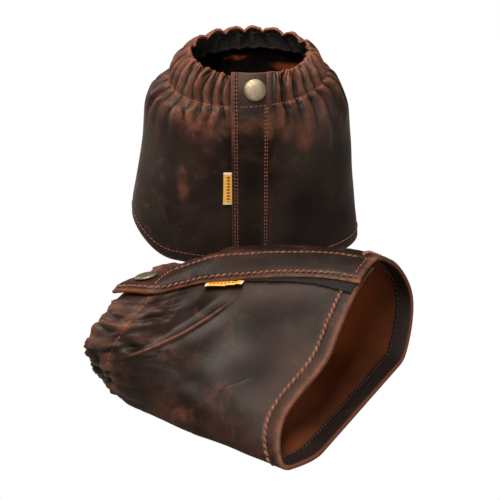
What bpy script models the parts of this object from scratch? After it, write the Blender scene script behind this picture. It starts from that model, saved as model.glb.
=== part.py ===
"""A pair of short leather gaiters: one stands open on its hem, the other lies on its back panel.

Both are made from one pattern. A point of the leather is named by two lengths in millimetres:
"around", along the hem from the gaiter's shortest line, and "down", from the elastic rim to the hem.
The panel starts at the flap's free edge, goes once round the leg and ends under the flap.
"""
import math

import bpy
import numpy as np
from mathutils import Matrix, Vector

MM = 0.001

# the pattern
HEM_ROUND = 420.0        # once round the hem
LONG_DROP = 160.0        # rim to hem over most of the gaiter
SHORT_DROP = 142.0       # rim to hem at the shortest line
RAMP = 56.0              # the hem rises to the shortest line over this length, on each side
FLAP_EDGE = 102.0        # around, at the flap's free edge
FLAP_WIDTH = 25.0
FLAP_END = FLAP_EDGE + FLAP_WIDTH
FLAP_LIFT = 4.6          # the flap lies this high, over the underlap and two tapes
EDGE_LIFT = 3.2          # and this high at its free edge
LIFT_RUN = 25.0          # the lift dies out over this length beyond the flap
TAB_RISE = 2.0           # the flap's tab stands this high above the gathered rim
LEATHER = 1.5
SEAM_GAP = 0.3

# the gathers of the elastic casing
GATHERS = 30
GATHER_START = FLAP_END + 6.0
GATHER_END = HEM_ROUND + FLAP_EDGE - 3.0
SAMPLES = 4              # columns to each gather
FLAP_COLUMNS = (102.0, 108.0, 115.5, 123.0)
UNDERLAP_COLUMNS = (103.5, 108.0, 115.5, 123.0, 125.0)

# height of the gather waves: down, height
GATHER_HEIGHT = (
    (0.0, 1.2),
    (8.0, 1.8),
    (16.0, 1.9),
    (25.0, 0.9),
    (34.0, 1.5),
    (44.0, 0.8),
    (56.0, 0.3),
    (66.0, 0.0),
)
FINE_ROWS = (0.0, 8.0, 16.0, 25.0, 34.0, 44.0)
BODY_TOP = 55.0
BODY_ROWS = 5

# the small pieces
TURN_WIDTH = 12.0        # hem turned to the inside
TURN_THICK = 1.2
TURN_GAP = 0.5           # the turning's wall stands a little off the panel where the folds are tight
ELASTIC_TOP = 4.0
ELASTIC_BOTTOM = 24.0
ELASTIC_THICK = 1.2
ELASTIC_DEPTH = 4.1      # inside the casing's mean surface, clear of the gathers
TAPE_THICK = 0.9
TAPE_GAP = 0.4
HOOK_GAP = 0.1           # between the flap's seam gap and the hook tape
# how far each tape's left edge is out of line with the flap's columns, at each body row
TAPE_STRAIGHT = (1.0, 1.0, 1.0, 1.0, 1.0)
TAPE_SHOWING = (1.0, 1.0, 7.0, 11.0, 14.0)   # comes out from under the flap towards the hem
SNAP_AROUND = FLAP_EDGE + 15.0
SNAP_DOWN = 13.5
SNAP_RADIUS = 7.5
SNAP_HEIGHT = 2.6
SNAP_INNER_RADIUS = 5.0
SNAP_INNER_THICK = 0.9
LABEL_LENGTH = 25.0
LABEL_OUT = 6.5          # past the flap's free edge
LABEL_IN = 2.5           # under the flap
LABEL_THICK = 0.9
STANDING_LABEL_TOP = 83.0
LYING_LABEL_TOP = 61.0

# where the pair's own frame has its origin, in the standing gaiter's frame
PAIR_CENTRE = (2.3, -123.2, 0.0)

# the standing gaiter, one row for each level
# down, height, rim dips forward, rim rises to the right, left, right, front, back
STANDING = (
    (0.0, 144.5, 2.0, 0.0, -38.5, 39.0, -43.0, 36.5),
    (12.0, 136.5, 2.0, 1.0, -49.5, 46.0, -49.0, 42.0),
    (25.0, 126.0, 2.0, 2.0, -57.0, 53.5, -54.0, 46.0),
    (40.0, 117.0, 0.0, 1.0, -68.5, 62.0, -57.0, 49.0),
    (52.0, 107.5, 0.0, 0.0, -72.5, 67.5, -58.0, 51.0),
    (79.0, 80.5, 0.0, 0.0, -75.5, 70.5, -57.0, 50.0),
    (135.0, 25.0, 0.0, 0.0, -84.5, 75.5, -53.0, 48.0),
    (160.0, 0.0, 0.0, 0.0, -86.0, 78.0, -51.0, 46.0),
)
STANDING_LIFT = 0.12     # keeps the whole hem edge on or above the floor
TILT_REACH = 50.0        # the dip and the rise are given at this distance from the middle
FLAP_MIDDLE_X = 0.5      # the flap's middle, left to right

# the lying gaiter, one row for each section across its length, in a frame that starts at the
# near end of the hem's crease and is turned about +Z
# down, along, crease y, middle y, z, ridge y, z, fold y, z, wall y, foot y, lean z, lean y, flap
LYING = (
    (0.0, -136.5, 33.0, 8.0, 38.0, 32.0, 62.5, 84.0, 59.0, 100.0, 72.0, 0.2, 0.15, 14.0),
    (12.0, -128.5, 29.0, 5.0, 42.0, 34.0, 67.0, 90.0, 62.0, 106.0, 78.0, 0.28, 0.15, 12.0),
    (25.0, -119.0, 21.0, 5.0, 43.0, 41.0, 71.5, 97.0, 65.0, 113.0, 86.0, 0.32, 0.11, 7.0),
    (40.0, -106.0, 11.0, 9.0, 42.0, 55.0, 74.0, 107.0, 67.0, 122.0, 92.0, 0.18, 0.06, 2.0),
    (52.0, -96.0, 7.0, 14.0, 40.0, 66.0, 75.0, 116.0, 67.0, 132.0, 98.0, 0.06, 0.0, 0.0),
    (79.0, -69.0, 2.5, 29.0, 41.0, 84.0, 74.0, 132.0, 67.0, 148.0, 112.0, -0.08, 0.0, 0.0),
    (135.0, -13.0, -5.0, 48.0, 44.0, 114.0, 72.0, 151.0, 66.0, 168.0, 136.0, -0.2, 0.0, 0.0),
    (160.0, 12.0, -9.0, 51.0, 46.0, 119.0, 71.0, 153.0, 65.0, 171.0, 140.0, -0.25, 0.0, 0.0),
)
LYING_TURN = math.radians(-28.0)
LYING_ORIGIN = (22.2, -296.1)
CREASE_BEHIND = 24.0     # the lying crease is this far behind the shortest line, round the hem
LEAN_HEIGHT = 38.0
LEAN_BELOW = 0.35        # the rim leans less below that height
LEAN_MIDDLE = 60.0
SOFT_BEND = 13.0         # folds are rounded over this length

RING_POINTS = 480
STEP = 1.0               # the surface is worked out every millimetre, down and around

# red, green, blue, roughness, metallic
FINISHES = {
    "leather": (0.075, 0.036, 0.024, 0.48, 0.0),
    "leather_turn": (0.14, 0.055, 0.03, 0.55, 0.0),
    "elastic": (0.012, 0.012, 0.013, 0.85, 0.0),
    "tape": (0.014, 0.014, 0.016, 0.9, 0.0),
    "snap_metal": (0.36, 0.32, 0.22, 0.34, 1.0),
    "label_cloth": (0.8, 0.58, 0.16, 0.8, 0.0),
}


def smooth(value):
    """0 to 1 with level ends."""
    value = np.clip(value, 0.0, 1.0)
    return value * value * (3.0 - 2.0 * value)


def rim_drop(around):
    """Down at the rim: the flap's tab stands above the gathered edge."""
    tab = smooth((GATHER_START - around) / 3.0)
    return TAB_RISE * (1.0 - tab)


def flap_lift(around):
    """Height of the panel over the surface of the leg opening."""
    edge = EDGE_LIFT + (FLAP_LIFT - EDGE_LIFT) * smooth((around - FLAP_EDGE) / 5.0)
    return edge * smooth((FLAP_END + LIFT_RUN - around) / LIFT_RUN)


def gather_turns(around):
    """Number of gathers passed at a place, unevenly spaced."""
    t = (around - GATHER_START) / (GATHER_END - GATHER_START)
    uneven = 0.16 * np.sin(2 * np.pi * 3 * t + 1.0) + 0.09 * np.sin(2 * np.pi * 7 * t + 2.0)
    return GATHERS * t + uneven - uneven_at_start()


def uneven_at_start():
    return 0.16 * math.sin(1.0) + 0.09 * math.sin(2.0)


def gather_wave(around, down):
    """Height of the gathers: a wave round the casing that fades into the body."""
    t = (around - GATHER_START) / (GATHER_END - GATHER_START)
    table = np.array(GATHER_HEIGHT)
    height = np.interp(down, table[:, 0], table[:, 1])
    height = height * (1.0 + 0.25 * np.sin(2 * np.pi * 5 * t + 0.7))
    ends = smooth(t / 0.03) * smooth((1.0 - t) / 0.03)
    return height * ends * np.cos(2 * np.pi * gather_turns(around))


def row_at(table, down):
    """A row between the table's rows, on a smooth curve through them."""
    rows = np.array(table)
    at, values = rows[:, 0], rows[:, 1:]
    steps = np.diff(at)[:, None]
    slopes = np.diff(values, axis=0) / steps
    inner = (slopes[:-1] * steps[1:] + slopes[1:] * steps[:-1]) / (steps[:-1] + steps[1:])
    tangents = np.concatenate([slopes[:1], inner, slopes[-1:]])
    i = int(np.clip(np.searchsorted(at, down) - 1, 0, len(at) - 2))
    h = at[i + 1] - at[i]
    u = (down - at[i]) / h
    return (
        (2 * u**3 - 3 * u**2 + 1) * values[i]
        + (u**3 - 2 * u**2 + u) * h * tangents[i]
        + (3 * u**2 - 2 * u**3) * values[i + 1]
        + (u**3 - u**2) * h * tangents[i + 1]
    )


def round_curve(corners, per_side):
    """A closed curve through the corners, with a tangent at each that suits its two spans."""
    points = np.array(corners)
    ahead = np.roll(points, -1, axis=0)
    span = np.sqrt(np.linalg.norm(ahead - points, axis=1))[:, None]
    before_span = np.roll(span, 1, axis=0)
    behind = np.roll(points, 1, axis=0)
    slope = (points - behind) / before_span - (ahead - behind) / (before_span + span)
    slope = slope + (ahead - points) / span
    u = np.linspace(0.0, 1.0, per_side, endpoint=False)[None, :, None]
    start, end = points[:, None], ahead[:, None]
    leave, arrive = (slope * span)[:, None], (np.roll(slope, -1, axis=0) * span)[:, None]
    curve = (
        (2 * u**3 - 3 * u**2 + 1) * start
        + (u**3 - 2 * u**2 + u) * leave
        + (3 * u**2 - 2 * u**3) * end
        + (u**3 - u**2) * arrive
    )
    return curve.reshape(-1, points.shape[1])


def lengths_along(closed):
    loop = np.concatenate([closed, closed[:1]])
    return loop, np.concatenate([[0.0], np.cumsum(np.linalg.norm(np.diff(loop, axis=0), axis=1))])


def even_loop(closed):
    """The closed curve with its points evenly spaced, and its length."""
    loop, run = lengths_along(closed)
    at = np.linspace(0.0, run[-1], RING_POINTS, endpoint=False)
    return np.stack([np.interp(at, run, loop[:, k]) for k in range(closed.shape[1])], axis=-1), run[-1]


def soften(closed, width):
    """Rounds the closed curve's corners by averaging each point over a width along it."""
    even, length = even_loop(closed)
    half = max(1, int(round(0.5 * width / length * RING_POINTS)))
    return sum(np.roll(even, k, axis=0) for k in range(-half, half + 1)) / (2 * half + 1)


def spread_round(closed, flap_run, lead):
    """Points every millimetre of the pattern, starting at the shortest line.

    The closed curve starts "lead" behind the shortest line. The flap keeps its true width,
    with its middle at the length flap_run, and the rest is gathered in or let out evenly.
    """
    loop, run = lengths_along(closed)
    half = 0.5 * FLAP_WIDTH
    pattern = [0.0, lead + FLAP_EDGE, lead + FLAP_END, HEM_ROUND]
    lengths = [0.0, flap_run - half, flap_run + half, run[-1]]
    around = np.mod(np.arange(0.0, HEM_ROUND, STEP) + lead, HEM_ROUND)
    at = np.interp(around, pattern, lengths)
    return np.stack([np.interp(at, run, loop[:, k]) for k in range(closed.shape[1])], axis=-1)


def standing_ring(down):
    height, dip, rise, left, right, front, back = row_at(STANDING, down)
    turn = math.pi + np.linspace(0.0, 2 * math.pi, RING_POINTS, endpoint=False)
    middle, half = 0.5 * (left + right), 0.5 * (right - left)
    x = middle + half * np.cos(turn)
    y = np.where(np.sin(turn) < 0.0, -front, back) * np.sin(turn)
    z = height + STANDING_LIFT + (dip * y + rise * x) / TILT_REACH
    ring = np.stack([x, y, z], axis=-1)
    run = lengths_along(ring)[1]
    front_half = slice(0, RING_POINTS // 2)
    flap_run = float(np.interp(FLAP_MIDDLE_X, x[front_half], run[front_half]))
    return spread_round(ring, flap_run, 0.0)


def lying_ring(down):
    (along, crease_y, middle_y, middle_z, ridge_y, ridge_z, fold_y, fold_z, wall_y, foot_y,
     lean_z, lean_y, flap_past_ridge) = row_at(LYING, down)
    corners = (
        (crease_y, 0.0),
        (middle_y, middle_z),
        (ridge_y, ridge_z),
        (fold_y, fold_z),
        (wall_y, 0.5 * fold_z),
        (foot_y, 0.0),
        (0.5 * (crease_y + foot_y), 0.0),
    )
    section = round_curve(corners, 60)
    section[:, 1] = np.maximum(section[:, 1], 0.0)
    section = soften(section, SOFT_BEND)
    run = lengths_along(section)[1]
    ridge = int(np.argmin(np.hypot(section[:, 0] - ridge_y, section[:, 1] - ridge_z)))
    flap_run = run[ridge] + flap_past_ridge
    y, z = section[:, 0], section[:, 1]
    above = z - LEAN_HEIGHT
    rim_lean = np.where(above < 0.0, LEAN_BELOW * above, above)
    lean = lean_z * (z if lean_z < 0.0 else rim_lean) + lean_y * (y - LEAN_MIDDLE)
    x = along + lean
    cosine, sine = math.cos(LYING_TURN), math.sin(LYING_TURN)
    ring = np.stack(
        [LYING_ORIGIN[0] + x * cosine - y * sine, LYING_ORIGIN[1] + x * sine + y * cosine, z],
        axis=-1,
    )
    return spread_round(ring, flap_run, CREASE_BEHIND)


class Surface:
    """The leg opening's surface on a millimetre grid, with its outward normals and its hem."""

    def __init__(self, ring_at):
        downs = np.arange(0.0, LONG_DROP + STEP, STEP)
        self.points = np.array([ring_at(down) for down in downs]) - np.array(PAIR_CENTRE)
        wrapped = np.concatenate([self.points[:, -2:], self.points, self.points[:, :2]], axis=1)
        along = np.gradient(wrapped, axis=1)[:, 2:-2]
        below = np.gradient(self.points, axis=0)
        normals = np.cross(below, along)
        for _ in range(3):
            normals = (np.roll(normals, 1, axis=1) + normals + np.roll(normals, -1, axis=1)) / 3.0
        self.normals = normals / np.linalg.norm(normals, axis=-1, keepdims=True)

    def hem(self, around):
        """Down at the hem: level, with a soft rise to the shortest line."""
        wrapped = np.mod(around, HEM_ROUND)
        away = np.minimum(wrapped, HEM_ROUND - wrapped)
        rise = 0.5 * (1.0 + np.cos(np.pi * np.clip(away / RAMP, 0.0, 1.0)))
        return LONG_DROP - (LONG_DROP - SHORT_DROP) * rise

    def body_level(self, around, share):
        """Down from the gathers' foot (share 0) to the hem turning's stitch line (share 1)."""
        return BODY_TOP + share * (self.hem(around) - TURN_WIDTH - BODY_TOP)

    def at(self, around, down, out):
        """Points at places of the pattern, moved out along the normal and kept above the floor."""
        around, down, out = np.broadcast_arrays(around, down, out)
        row = np.clip(down / STEP, 0.0, len(self.points) - 1.001)
        column = np.mod(around, HEM_ROUND) / STEP
        r, c = np.floor(row).astype(int), np.floor(column).astype(int)
        u, v = (row - r)[..., None], (column - c)[..., None]
        n = self.points.shape[1]
        c0, c1 = np.mod(c, n), np.mod(c + 1, n)

        def mixed(field):
            upper = field[r, c0] * (1 - v) + field[r, c1] * v
            lower = field[r + 1, c0] * (1 - v) + field[r + 1, c1] * v
            return upper * (1 - u) + lower * u

        normal = mixed(self.normals)
        normal = normal / np.linalg.norm(normal, axis=-1, keepdims=True)
        points = mixed(self.points) + normal * out[..., None]
        points[..., 2] = np.maximum(points[..., 2], 0.0)
        return points


def material(name):
    red, green, blue, roughness, metallic = FINISHES[name]
    made = bpy.data.materials.new(name)
    made.use_nodes = True
    shader = made.node_tree.nodes["Principled BSDF"]
    shader.inputs["Base Color"].default_value = (red, green, blue, 1.0)
    shader.inputs["Roughness"].default_value = roughness
    shader.inputs["Metallic"].default_value = metallic
    return made


def add_mesh(collection, name, points, faces, finish):
    mesh = bpy.data.meshes.new(name)
    mesh.from_pydata((points * MM).tolist(), [], faces)
    mesh.shade_smooth()
    mesh.set_sharp_from_angle(angle=math.radians(40.0))
    piece = bpy.data.objects.new(name, mesh)
    piece.data.materials.append(material(finish))
    collection.objects.link(piece)
    return piece


def add_thickness(piece, thickness):
    """The mesh is the outer face, and the wall grows inward from it."""
    solid = piece.modifiers.new("thickness", "SOLIDIFY")
    solid.thickness = thickness * MM
    solid.offset = -1.0
    return piece


def add_cloth(collection, name, rows, finish, thickness):
    """A wall whose outer face runs through rows of points, from the rim down.

    Where a row has half as many spans as the row above, each of its spans meets two of them.
    """
    faces = []
    first = 0
    for upper, lower in zip(rows[:-1], rows[1:]):
        a, b = first, first + len(upper)
        if len(upper) == len(lower):
            faces += [(a + k, b + k, b + k + 1, a + k + 1) for k in range(len(upper) - 1)]
        else:
            for k in range(len(lower) - 1):
                left, centre, right = a + 2 * k, a + 2 * k + 1, a + 2 * k + 2
                faces += [(left, b + k, centre), (centre, b + k + 1, right), (centre, b + k, b + k + 1)]
        first = b
    piece = add_mesh(collection, name, np.concatenate(rows), faces, finish)
    return add_thickness(piece, thickness)


def halved(places):
    """The places and the middle of each gap between them."""
    return np.interp(np.arange(2 * len(places) - 1) / 2, np.arange(len(places)), places)


def panel_columns():
    """Places around the panel: few on the plain flap and underlap, and several to each gather."""
    flap = halved(FLAP_COLUMNS + (GATHER_START,))[:-1]
    fine = np.linspace(GATHER_START, GATHER_END, 4001)
    gathers = np.interp(np.arange(GATHERS * SAMPLES) / SAMPLES, gather_turns(fine), fine)
    underlap = halved((GATHER_END,) + tuple(HEM_ROUND + column for column in UNDERLAP_COLUMNS))
    return np.concatenate([flap, gathers, underlap])


def add_panel(collection, name, surface):
    around = panel_columns()
    rows = []
    for down in FINE_ROWS:
        level = np.maximum(down, rim_drop(around))
        out = flap_lift(around) + gather_wave(around, level)
        rows.append(surface.at(around, level, out))
    around = around[::2]
    levels = [surface.body_level(around, share) for share in np.linspace(0.0, 1.0, BODY_ROWS)]
    for level in levels + [surface.hem(around)]:
        out = flap_lift(around) + gather_wave(around, level)
        rows.append(surface.at(around, level, out))
    add_cloth(collection, name, rows, "leather", LEATHER)


def add_hem_turn(collection, name, surface):
    """The hem's turning, stitched down on the inside, from the flap round to the underlap's end."""
    around = panel_columns()[::2]
    around = around[around > FLAP_END + 4.0]
    hem = surface.hem(around)
    out = flap_lift(around) - LEATHER - TURN_GAP
    rows = [surface.at(around, hem - up, out) for up in (TURN_WIDTH, 0.5)]
    add_cloth(collection, name, rows, "leather_turn", TURN_THICK)


def add_elastic(collection, name, surface):
    """The black elastic band inside the casing, open behind the tab."""
    around = np.linspace(GATHER_START, HEM_ROUND + FLAP_EDGE + 8.0, 61)
    rows = [
        surface.at(around, np.full_like(around, down), -ELASTIC_DEPTH)
        for down in np.linspace(ELASTIC_TOP, ELASTIC_BOTTOM, 4)
    ]
    add_cloth(collection, name, rows, "elastic", ELASTIC_THICK)


def add_tape(collection, name, surface, out, shifts, hem_gap):
    """A tape along the closure, on the panel's own rows. The shifts widen its left edge."""
    rows = []
    inner, middle, far = FLAP_COLUMNS[1:]
    for share, shift in zip(np.linspace(0.0, 1.0, BODY_ROWS), shifts):
        left = inner - shift
        around = np.array([left, 0.5 * (left + inner), inner, middle, far])
        rows.append(surface.at(around, surface.body_level(around, share), out))
    if hem_gap < TURN_WIDTH:
        rows.append(surface.at(around, surface.hem(around) - hem_gap, out))
    add_cloth(collection, name, rows, "tape", TAPE_THICK)


def add_label(collection, name, surface, top):
    """A plain woven tag, caught under the flap's free edge."""
    around = np.linspace(FLAP_EDGE - LABEL_OUT, FLAP_EDGE + LABEL_IN, 4)
    rows = [
        surface.at(around, down, SEAM_GAP + LABEL_THICK)
        for down in np.linspace(top, top + LABEL_LENGTH, 5)
    ]
    add_cloth(collection, name, rows, "label_cloth", LABEL_THICK)


def add_snap_cap(collection, name, surface):
    """The snap's domed cap with a rolled rim, turned about the normal of the tab."""
    centre = surface.at(SNAP_AROUND, SNAP_DOWN, FLAP_LIFT + SEAM_GAP)
    above = surface.at(SNAP_AROUND, SNAP_DOWN, FLAP_LIFT + SEAM_GAP + 1.0)
    r, h = SNAP_RADIUS, SNAP_HEIGHT
    # radius, height, from the middle of the dome down to the middle of the base
    outline = (
        (0.0, h),
        (0.36 * r, 0.97 * h),
        (0.66 * r, 0.86 * h),
        (0.86 * r, 0.68 * h),
        (0.97 * r, 0.5 * h),
        (r, 0.28 * h),
        (0.95 * r, 0.06 * h),
        (0.86 * r, 0.0),
        (0.0, 0.0),
    )
    mesh = bpy.data.meshes.new(name)
    points = [(x * MM, 0.0, z * MM) for x, z in outline]
    mesh.from_pydata(points, [(k, k + 1) for k in range(len(points) - 1)], [])
    cap = bpy.data.objects.new(name, mesh)
    cap.data.materials.append(material("snap_metal"))
    collection.objects.link(cap)
    turned = cap.modifiers.new("turned", "SCREW")
    turned.steps = 32
    turned.render_steps = 32
    turned.use_merge_vertices = True
    turned.merge_threshold = 0.00001
    turned.use_normal_calculate = False
    normal = Vector(above - centre).normalized()
    turn = normal.to_track_quat("Z", "Y").to_matrix().to_4x4()
    cap.matrix_world = Matrix.Translation(Vector(centre) * MM) @ turn


def add_snap_disc(collection, name, surface, out):
    """A flat ring of the snap between the layers, laid on the leather's own curve."""
    rings = np.linspace(0.0, 1.0, 3)[1:]
    turn = np.linspace(0.0, 2 * math.pi, 20, endpoint=False)
    radii = rings[:, None] * SNAP_INNER_RADIUS
    edge = surface.at(SNAP_AROUND + 1.0, SNAP_DOWN, 0.0) - surface.at(SNAP_AROUND - 1.0, SNAP_DOWN, 0.0)
    spread = 2.0 / np.linalg.norm(edge)
    points = surface.at(
        SNAP_AROUND + radii * spread * np.cos(turn), SNAP_DOWN + radii * np.sin(turn), out
    ).reshape(-1, 3)
    middle = surface.at(SNAP_AROUND, SNAP_DOWN, out)
    points = np.concatenate([middle[None], points])
    n = len(turn)
    faces = [(0, 1 + (k + 1) % n, 1 + k) for k in range(n)]
    faces += [(1 + k, 1 + (k + 1) % n, 1 + n + (k + 1) % n, 1 + n + k) for k in range(n)]
    piece = add_mesh(collection, name, points, faces, "snap_metal")
    add_thickness(piece, SNAP_INNER_THICK)


def add_gaiter(collection, prefix, surface, loop_shifts, label_top):
    hook_out = FLAP_LIFT - LEATHER - SEAM_GAP
    add_panel(collection, prefix + "_panel", surface)
    add_hem_turn(collection, prefix + "_hem_turn", surface)
    add_elastic(collection, prefix + "_elastic", surface)
    tape_out = hook_out - HOOK_GAP
    add_tape(collection, prefix + "_hook_tape", surface, tape_out, TAPE_STRAIGHT, TURN_WIDTH)
    add_tape(collection, prefix + "_loop_tape", surface, TAPE_GAP + TAPE_THICK, loop_shifts, 3.0)
    add_snap_cap(collection, prefix + "_snap_cap", surface)
    add_snap_disc(collection, prefix + "_snap_socket", surface, hook_out)
    add_snap_disc(collection, prefix + "_snap_stud", surface, SEAM_GAP + SNAP_INNER_THICK)
    add_label(collection, prefix + "_label", surface, label_top)


def main():
    for old in list(bpy.data.objects):
        bpy.data.objects.remove(old, do_unlink=True)
    collection = bpy.data.collections.new("pair_of_leather_gaiters")
    bpy.context.scene.collection.children.link(collection)
    standing = Surface(standing_ring)
    lying = Surface(lying_ring)
    add_gaiter(collection, "standing", standing, TAPE_STRAIGHT, STANDING_LABEL_TOP)
    add_gaiter(collection, "lying", lying, TAPE_SHOWING, LYING_LABEL_TOP)


main()
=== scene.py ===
# %% [markdown]
# # A pair of short leather gaiters
#
# The pair is cut from waxed brown leather. Each gaiter has an elastic casing gathered round its rim,
# a flat flap that closes over black tape with one snap at the top, and a turned hem. One gaiter
# stands open on its hem and the other lies on its side. The leather is a surface worked out from the
# cutting pattern: every point is named by two lengths in millimetres, "around" the hem and "down"
# from the rim. Stitches, elastic, tapes and creases then find their places by the same two numbers.

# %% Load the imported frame
import math

import bmesh
import bpy
import numpy as np
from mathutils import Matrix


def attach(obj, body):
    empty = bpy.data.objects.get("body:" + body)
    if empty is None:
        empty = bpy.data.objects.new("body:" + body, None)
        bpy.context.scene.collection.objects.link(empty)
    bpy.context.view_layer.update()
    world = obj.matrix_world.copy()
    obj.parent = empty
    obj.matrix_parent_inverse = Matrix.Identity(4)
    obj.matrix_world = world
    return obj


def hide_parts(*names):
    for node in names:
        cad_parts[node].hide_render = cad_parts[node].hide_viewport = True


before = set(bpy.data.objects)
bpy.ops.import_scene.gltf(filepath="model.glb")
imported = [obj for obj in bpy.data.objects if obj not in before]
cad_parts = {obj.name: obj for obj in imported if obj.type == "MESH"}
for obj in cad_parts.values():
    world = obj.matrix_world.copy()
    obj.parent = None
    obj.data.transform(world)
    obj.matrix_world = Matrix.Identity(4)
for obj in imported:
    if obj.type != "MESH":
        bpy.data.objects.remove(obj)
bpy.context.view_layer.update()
MM = 0.001
print("nodes", sorted(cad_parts))

# %% [markdown]
# The camera comes first, because every later choice is judged through it. A long lens from 1.36 m
# away, looking down by 28 degrees, gives the flat perspective of a product photograph.

# %% Camera
CAMERA_DOWN = math.radians(28.0)
CAMERA_AWAY = 1.36468
CAMERA_TARGET = np.array([-0.0023, 0.1232, -0.013])

forward = np.array([0.0, math.cos(CAMERA_DOWN), -math.sin(CAMERA_DOWN)])
lens = bpy.data.cameras.new("camera")
lens.lens = 135.0
lens.sensor_width = 36.0
camera = bpy.data.objects.new("camera", lens)
camera.location = CAMERA_TARGET - forward * CAMERA_AWAY
camera.rotation_euler = (math.pi / 2 - CAMERA_DOWN, 0.0, 0.0)
bpy.context.scene.collection.objects.link(camera)
bpy.context.scene.camera = camera
print("camera at", [round(value, 3) for value in camera.location])

# %% [markdown]
# The room is dim and a little warm, and the floor is white to the camera only. Waxed leather is
# dark, so its shape is read from the broad reflections of six soft lights: a large key above and in
# front, one overhead and behind, a narrow one at each side for the grey sheen at the edges, a low
# one in front for the snap, and a weak one that reaches into the lying gaiter's mouth.

# %% Lights, world and floor
WARM = (1.0, 0.87, 0.77)


def add_softbox(name, place, aim, width, height, watts):
    """A rectangular area light at a place, turned so that it faces the aim point."""
    lamp = bpy.data.lights.new(name, "AREA")
    lamp.shape = "RECTANGLE"
    lamp.size = width
    lamp.size_y = height
    lamp.energy = watts
    lamp.color = WARM
    box = bpy.data.objects.new(name, lamp)
    place, aim = np.array(place), np.array(aim)
    away = place - aim
    away = away / np.linalg.norm(away)
    pitch = math.acos(away[2])
    heading = math.atan2(away[1], away[0]) + math.pi / 2
    box.location = place
    box.rotation_euler = (pitch, 0.0, heading)
    bpy.context.scene.collection.objects.link(box)


add_softbox("key", (-0.2, -0.5, 1.25), (0.0, 0.0, 0.05), 0.6, 0.6, 23.0)
add_softbox("overhead", (0.1, 0.35, 1.35), (0.0, 0.1, 0.0), 0.6, 0.4, 8.0)
add_softbox("left", (-1.0, 0.6, 0.5), (-0.05, 0.12, 0.08), 0.3, 0.6, 6.5)
add_softbox("right", (1.1, 0.1, 0.45), (0.0, 0.05, 0.06), 0.2, 0.5, 0.6)
add_softbox("mouth", (0.75, -0.85, 0.4), (0.09, -0.08, 0.03), 0.5, 0.4, 1.4)
add_softbox("front", (-0.1, -1.5, 0.42), (0.0, 0.1, 0.08), 0.3, 0.14, 4.2)

world = bpy.data.worlds.new("studio")
world.use_nodes = True
background = world.node_tree.nodes["Background"]
background.inputs["Color"].default_value = (*WARM, 1.0)
background.inputs["Strength"].default_value = 0.09
bpy.context.scene.world = world
bpy.context.scene.view_settings.view_transform = "Standard"

FLOOR_HEIGHT = -0.0006  # a hair under the leather, so that the two never share a plane
FLOOR_PLAN = ((-3.0, -3.0), (3.0, -3.0), (3.0, 4.0), (-3.0, 4.0))
floor_mesh = bpy.data.meshes.new("floor")
floor_mesh.from_pydata([(x, y, FLOOR_HEIGHT) for x, y in FLOOR_PLAN], [], [(0, 1, 2, 3)])
floor = bpy.data.objects.new("floor", floor_mesh)
bpy.context.scene.collection.objects.link(floor)

# %% [markdown]
# The form of each gaiter repeats the named sizes of the CAD part, so that the leather made here
# fills the space of its solid. The hem is 420 mm round and the leather 160 mm from rim to hem,
# except at one place where the hem rises.

# %% The pattern's sizes, in millimetres
HEM_ROUND = 420.0
LONG_DROP = 160.0  # rim to hem
SHORT_DROP = 142.0  # rim to hem at the shortest line, where "around" is 0
RAMP = 56.0  # from the shortest line to where the drop is full again
FLAP_EDGE = 102.0  # around, at the flap's free edge
FLAP_END = 127.0
FLAP_LIFT = 4.6  # the flap lies this high, over the underlap and two tapes
EDGE_LIFT = 3.2  # and this high at its free edge
LIFT_RUN = 25.0  # the lift dies out over this length beyond the flap
TAB_RISE = 2.0  # the flap's tab stands this high above the gathered rim
LEATHER = 1.5
GATHERS = 30
GATHER_START = FLAP_END + 6.0
GATHER_END = HEM_ROUND + FLAP_EDGE - 3.0
UNDERLAP_END = HEM_ROUND + 125.0
CASING_DROP = 25.0  # down, at the casing's stitches
BODY_TOP = 55.0  # down, where the tapes start
TURN_WIDTH = 12.0
PAIR_CENTRE = (2.3, -123.2, 0.0)  # of the pair's frame, in the frame of the tables below

# height of the gather waves: down, height
GATHER_HEIGHT = (
    (0.0, 1.2),
    (8.0, 1.8),
    (16.0, 1.9),
    (25.0, 0.9),
    (34.0, 1.5),
    (44.0, 0.8),
    (56.0, 0.3),
    (66.0, 0.0),
)

# the standing gaiter, one row for each level
# down, height, rim dips forward, rim rises to the right, left, right, front, back
STANDING = (
    (0.0, 144.5, 2.0, 0.0, -38.5, 39.0, -43.0, 36.5),
    (12.0, 136.5, 2.0, 1.0, -49.5, 46.0, -49.0, 42.0),
    (25.0, 126.0, 2.0, 2.0, -57.0, 53.5, -54.0, 46.0),
    (40.0, 117.0, 0.0, 1.0, -68.5, 62.0, -57.0, 49.0),
    (52.0, 107.5, 0.0, 0.0, -72.5, 67.5, -58.0, 51.0),
    (79.0, 80.5, 0.0, 0.0, -75.5, 70.5, -57.0, 50.0),
    (135.0, 25.0, 0.0, 0.0, -84.5, 75.5, -53.0, 48.0),
    (160.0, 0.0, 0.0, 0.0, -86.0, 78.0, -51.0, 46.0),
)
STANDING_LIFT = 0.12  # keeps the hem's fold off the floor
TILT_REACH = 50.0  # the rim's dip and rise are given at this distance from the middle
FLAP_MIDDLE_X = 0.5

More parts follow.
